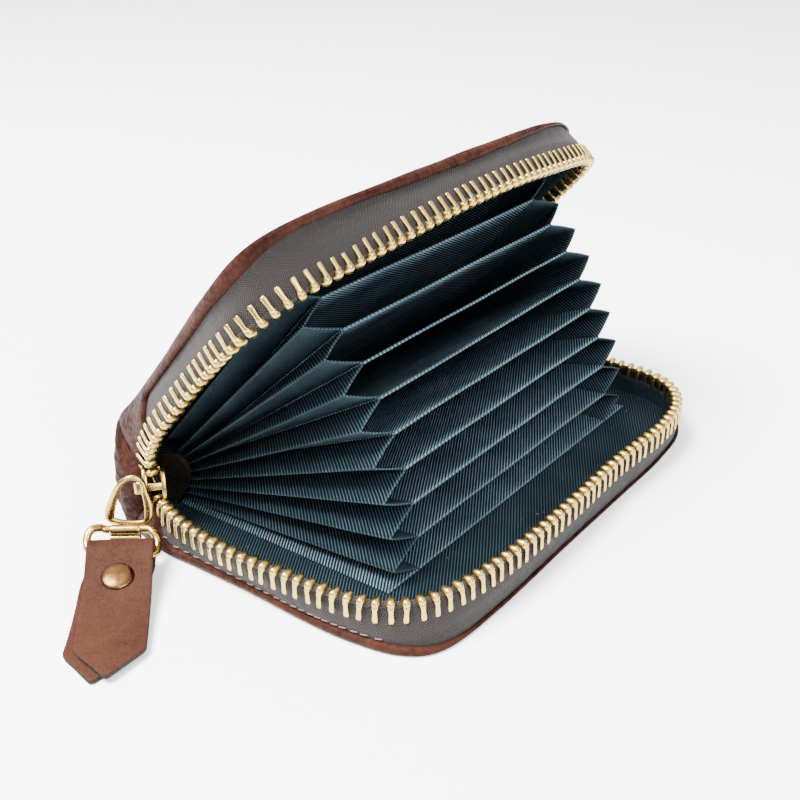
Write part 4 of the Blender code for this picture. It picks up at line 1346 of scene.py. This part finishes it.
# Points across and up in the stirrup's plane, with the wire's half width there, in mm
STIRRUP_PATH = (
    (0.95, 1.2, 0.5),
    (-0.6, 1.8, 0.5),
    (-2.5, 0.72, 0.56),
    (-3.85, -1.55, 0.7),
    (-4.85, -4.1, 0.84),
    (-5.35, -6.0, 0.92),
    (-4.9, -7.1, 0.66),
    (-2.5, -7.7, 0.48),
    (0.75, -7.75, 0.5),
    (1.65, -6.75, 0.74),
    (1.95, -4.8, 0.86),
    (1.85, -3.1, 0.8),
    (1.55, -1.3, 0.66),
    (1.45, 0.1, 0.55),
)
STIRRUP_DEPTH = 0.5 * MM
WIRE_STEPS = 120


def stirrup_piece():
    """The D-shaped wire from the slider's lug, flattened wider down its two sides."""
    line, _ = smooth_line(in_mm(STIRRUP_PATH), WIRE_STEPS, cyclic=True)
    points = [LEG + ACROSS * a + UP * z for a, z, _ in line[:-1]]
    widths = [w for _, _, w in line[:-1]]
    depths = [STIRRUP_DEPTH] * len(points)
    item = new_object("stirrup_wire", swept(points, widths, depths, OUT, 14))
    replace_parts(dress(item, BRASS), "pull_stirrup")
    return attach(item, "stirrup")


# Where along a barrel its rings are, and how wide each is as a share of its radius
ROLL_SHARES = (0.0, 0.012, 0.04, 0.09, 0.3, 0.5, 0.7, 0.91, 0.96, 0.988, 1.0)
ROLL_SWELL = (0.55, 0.86, 0.97, 1.0, 0.97, 0.96, 0.97, 1.0, 0.97, 0.86, 0.55)


def roll_mesh(start, end, radius):
    """A rolled barrel between two points, with soft ends and a slight waist."""
    along = (end - start).normalized()
    length = (end - start).length
    points = [start + along * length * share for share in ROLL_SHARES]
    widths = [radius * share for share in ROLL_SWELL]
    return swept(points, widths, widths, along.orthogonal().normalized(), 20, cyclic=False)


KNUCKLE_ENDS = (-5.5, 0.2)

# Distance out, height and radius of the barrel, the plate under it and the plate's rolled edge, in mm
KNUCKLE_ROLLS = ((0.9, -8.65, 1.0), (1.1, -9.5, 0.62), (1.45, -10.15, 0.72))


def knuckle_piece():
    """The rolled knuckle: a round barrel over the ring's bar, and its plate's lower roll."""
    left, right = KNUCKLE_ENDS
    parts = []
    for out, up, radius in KNUCKLE_ROLLS:
        start, end = pull_point(left, out, up), pull_point(right, out, up - 0.15)
        parts.append((roll_mesh(start, end, radius * MM), Matrix()))
    item = new_object("knuckle_rolls", gather("knuckle_rolls", parts))
    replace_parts(dress(item, BRASS), "pull_knuckle")
    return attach(item, "stirrup")


# Points across, out and up from the stirrup's axis, in mm
RING_PATH = (
    (-5.6, 0.9, -8.6),
    (-6.9, 1.1, -8.05),
    (-8.2, 1.8, -7.75),
    (-9.1, 2.8, -8.4),
    (-9.2, 4.0, -9.5),
    (-8.5, 5.3, -10.3),
    (-6.8, 6.0, -10.7),
    (1.0, 6.0, -11.1),
    (2.9, 5.3, -11.3),
    (3.45, 4.0, -10.9),
    (3.3, 2.7, -10.1),
    (2.5, 1.6, -9.1),
    (1.0, 0.9, -8.7),
)
RING_RADIUS = 0.78 * MM


def ring_piece():
    """The ring that joins the knuckle to the tab, of thick round wire."""
    line, _ = smooth_line(in_mm(RING_PATH), WIRE_STEPS, cyclic=True)
    points = [LEG + ACROSS * a + OUT * o + UP * z for a, o, z in line[:-1]]
    radii = [RING_RADIUS] * len(points)
    normal = (OUT * 0.45 + UP * 0.89).normalized()
    item = new_object("ring_wire", swept(points, radii, radii, normal, 16))
    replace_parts(dress(item, BRASS), "pull_ring")
    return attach(item, "ring")


# The tab's strip from the back tip over the fold to the front tip, in mm: distance from the fold and height
TAB_PROFILE = (
    (32.4, 0.5),
    (26.0, 0.5),
    (20.0, 0.7),
    (14.0, 1.4),
    (10.0, 2.3),
    (7.0, 2.3),
    (4.0, 1.7),
    (1.8, 1.7),
    (0.1, 2.8),
    (-0.5, 4.4),
    (0.1, 5.8),
    (1.5, 6.2),
    (4.0, 5.4),
    (7.0, 4.3),
    (10.0, 3.3),
    (14.0, 2.2),
    (20.0, 1.55),
    (26.0, 1.4),
    (32.4, 1.4),
)
TAB_START = FOLD + (ACROSS * 1.0 - OUT * 0.7) * MM
TAB_HALF_WIDTH = 5.95 * MM
TAB_THICKNESS = 0.9 * MM
TAB_POINT = 6.7 * MM
TAB_LINE_STEPS = 400
TAB_STEPS = 96
TAB_ACROSS = 20
FRONT_LEAN = 0.06
BACK_LEAN = -0.012
RIVET_PLACE = 8.6 * MM
RIVET_RADIUS = 2.9 * MM
RIVET_SIDES = 40

# Two places on the tab's front, up and down from the rivet, as distance and height in mm
TAB_SLOPE = ((7, 4.3), (10, 3.3))

# The rivet's rings from its crown down: share of the radius and height in mm
RIVET_RINGS = (
    (0.0, 0.62),
    (0.35, 0.6),
    (0.65, 0.52),
    (0.86, 0.38),
    (0.96, 0.2),
    (1.0, 0.0),
    (0.97, -0.16),
    (0.85, -0.24),
)


def tab_point(distance, height, across, lean):
    centre = TAB_START + OUT * distance + ACROSS * (across + lean * max(distance, 0))
    return Vector((centre.x, centre.y, height))


def tab_piece():
    """One strip of leather folded through the ring: two pointed layers, a little askew to each other."""
    line, length = smooth_line(in_mm(TAB_PROFILE), TAB_LINE_STEPS)
    rows = []
    for j in range(TAB_ACROSS + 1):
        u = 2 * j / TAB_ACROSS - 1
        cut = TAB_POINT * max(abs(u) - 0.05, 0) / 0.95
        cut += 0.5 * MM * max(abs(u) - 0.9, 0) / 0.1
        row = []
        for i in range(TAB_STEPS + 1):
            travel = cut + (length - 2 * cut) * i / TAB_STEPS
            spot = travel / length * TAB_LINE_STEPS
            k = min(int(spot), TAB_LINE_STEPS - 1)
            distance, height = [a + (b - a) * (spot - k) for a, b in zip(line[k], line[k + 1])]
            front = smoothstep((travel / length - 0.42) / 0.16)
            lean = BACK_LEAN + (FRONT_LEAN - BACK_LEAN) * front
            curl = 0.25 * MM * noise.noise(Vector((distance * 90, u * 1.5, front * 7)))
            height += curl * smoothstep(distance / (12 * MM))
            row.append(tab_point(distance, height, u * TAB_HALF_WIDTH, lean))
        rows.append(row)
    item = new_object("tab_strip", grid_mesh("tab_strip", rows))
    dress(item, TAB_LEATHER)
    item.data.materials.append(RAW_EDGE)
    shell = thicken(item, TAB_THICKNESS)
    shell.material_offset_rim = 1
    soften(item, 0.16 * MM, 50)
    settle(item)
    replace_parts(item, "pull_tab")
    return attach(item, "tab")


def rivet_piece():
    """A low domed rivet through both layers, a little hammered, with a smaller head behind."""
    shape = bmesh.new()
    rows = []
    for radius, rise in RIVET_RINGS[1:]:
        row = []
        for t in angles(RIVET_SIDES):
            x, y = [RIVET_RADIUS * radius * part for part in (math.cos(t), math.sin(t))]
            dent = 0.1 * MM * noise.noise(Vector((x * 550, y * 550, 2))) * smoothstep((1 - radius) * 5)
            row.append(shape.verts.new((x, y, rise * MM + dent)))
        rows.append(row)
    crown = shape.verts.new((0, 0, RIVET_RINGS[0][1] * MM))
    for k in range(RIVET_SIDES):
        following = (k + 1) % RIVET_SIDES
        shape.faces.new((crown, rows[0][k], rows[0][following]))
        for inner, outer in zip(rows, rows[1:]):
            shape.faces.new((inner[k], outer[k], outer[following], inner[following]))
    shape.faces.new(rows[-1])
    upper_spot, lower_spot = [tab_point(out * MM, up * MM, 0, FRONT_LEAN) for out, up in TAB_SLOPE]
    face = (lower_spot - upper_spot).normalized().cross(ACROSS)
    face = face if face.z > 0 else -face
    spot = tab_point(RIVET_PLACE, 3.77 * MM, 0, FRONT_LEAN) + face * (TAB_THICKNESS / 2 + 0.1 * MM)
    mesh = mesh_from(shape, "rivet")
    behind = mesh.copy()
    sunk = Matrix.Translation((0, 0, -2 * TAB_THICKNESS - 0.5 * MM))
    behind.transform(sunk @ Matrix.Diagonal((0.8, 0.8, -0.7, 1)))
    whole = gather("rivet_heads", [(mesh, Matrix()), (behind, Matrix())])
    whole.transform(frame_matrix(spot, ACROSS, face.cross(ACROSS), face))
    item = dress(new_object("rivet_heads", whole), RIVET_BRASS)
    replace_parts(item, "pull_rivet")
    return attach(item, "tab")


# Table, lights and camera


def build_table():
    bpy.ops.mesh.primitive_plane_add(size=6)
    table = bpy.context.object
    table.name = "table"
    table.data.materials.append(table_material())


def area_light(name, spot, power, colour):
    """A round lamp that faces the wallet."""
    data = bpy.data.lights.new(name, "AREA")
    data.energy = power
    data.shape = "DISK"
    data.size = LIGHT_SIZE
    data.color = colour
    lamp = new_object(name, data)
    lamp.location = spot
    lamp.rotation_euler = (Vector(LIGHT_TARGET) - Vector(spot)).to_track_quat("-Z", "Y").to_euler()


WORLD_LOW = (0.02, 0.022, 0.025, 1)
WORLD_HIGH = (0.96, 0.98, 1, 1)
WORLD_STRENGTH = 2.75
LIGHT_TARGET = (0, 0, 0.02)
LIGHT_SIZE = 0.5
KEY_PLACE = (-0.25, -0.35, 0.75)
KEY_POWER = 50
KEY_COLOUR = (1, 0.98, 0.95)
FILL_PLACE = (0.6, -0.3, 0.5)
FILL_POWER = 10
FILL_COLOUR = (0.93, 0.97, 1)


def build_lights():
    """A white tent: bright overhead and dimmer towards the horizon, with a soft key and a fill."""
    world = bpy.data.worlds.new("studio")
    world.use_nodes = True
    tree = world.node_tree
    where = add(tree, "ShaderNodeTexCoord").outputs["Generated"]
    height = add(tree, "ShaderNodeSeparateXYZ", None, Vector=where).outputs[2]
    sky = mix(tree, remap(tree, height, 0.12, 0.6), WORLD_LOW, WORLD_HIGH)
    background = tree.nodes["Background"]
    tree.links.new(sky, background.inputs["Color"])
    background.inputs["Strength"].default_value = WORLD_STRENGTH
    bpy.context.scene.world = world
    area_light("key", KEY_PLACE, KEY_POWER, KEY_COLOUR)
    area_light("fill", FILL_PLACE, FILL_POWER, FILL_COLOUR)

CAMERA_PLACE = Vector((0.12124, -0.17379, 0.12209))
CAMERA_TARGET = Vector((-0.02471, 0.02224, 0))
CAMERA_ROLL = math.radians(-0.33)
CAMERA_LENS = 52.06


def build_camera():
    """The camera that sees the wallet as the photograph does. Its place was fitted to points in it."""
    data = bpy.data.cameras.new("camera")
    camera = new_object("camera", data)
    view = (CAMERA_TARGET - CAMERA_PLACE).to_track_quat("-Z", "Y").to_matrix().to_4x4()
    camera.matrix_world = Matrix.Translation(CAMERA_PLACE) @ view @ Matrix.Rotation(CAMERA_ROLL, 4, "Z")
    data.lens = CAMERA_LENS
    data.sensor_width = 36
    data.sensor_fit = "HORIZONTAL"
    data.clip_start = 0.01
    bpy.context.scene.camera = camera


def build_half(half):
    """Tape, teeth, lining and board of one half, and the lower half's stitches."""
    wall = Wall(half)
    tape, teeth = tape_piece(wall), teeth_piece(wall)
    lining, board = lining_piece(wall), board_piece(wall)
    for item in (tape, teeth, bead_piece(wall), lining, skirt_piece(wall), board):
        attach(item, f"{half}_half")
    if half == "lower":
        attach(stitch_piece(wall), f"{half}_half")
    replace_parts(tape, f"zip_tape_{half}")
    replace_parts(teeth, f"zip_teeth_{half}")
    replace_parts(lining, f"lining_{half}")
    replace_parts(board, f"board_{half}")
    return wall


def build_accordion():
    panel_width = (PANEL_HIGH.y - PANEL_LOW.y) / 2
    for half, k in (("lower", 0), ("upper", LEAF_COUNT + 1)):
        panel = panel_piece(f"panel_cloth_{half}", k, panel_width, LEAF_TWILL, 0.05 * MM)
        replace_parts(panel, f"end_panel_{half}")
        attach(panel, f"{half}_half")
    for k in range(1, LEAF_COUNT + 1):
        leaf = panel_piece(f"leaf_cloth_{k}", k, DIVIDER_WIDTH / 2, LEAF_TWILL, 0.2 * MM)
        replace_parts(leaf, f"divider_{k}")
        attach(leaf, f"leaf_{k}")
    for k in range(1, LEAF_COUNT + 2):
        pleat_piece(k, -1)
        pleat_piece(k, 1)


def dress_cad():
    """The zip's bottom stop stays as the CAD has it, in brass."""
    nodes["zip_bottom_stop"].data.materials.clear()
    nodes["zip_bottom_stop"].data.materials.append(BRASS)


lower_wall = build_half("lower")
upper_wall = build_half("upper")
leather_piece(lower_wall, upper_wall)
spine_lining_piece(lower_wall, upper_wall)
build_accordion()
for side in (-1, 1):
    end_piece(side)
    patch_piece(side)
slider_piece()
stirrup_piece()
knuckle_piece()
ring_piece()
tab_piece()
rivet_piece()
dress_cad()
build_table()
build_lights()
build_camera()
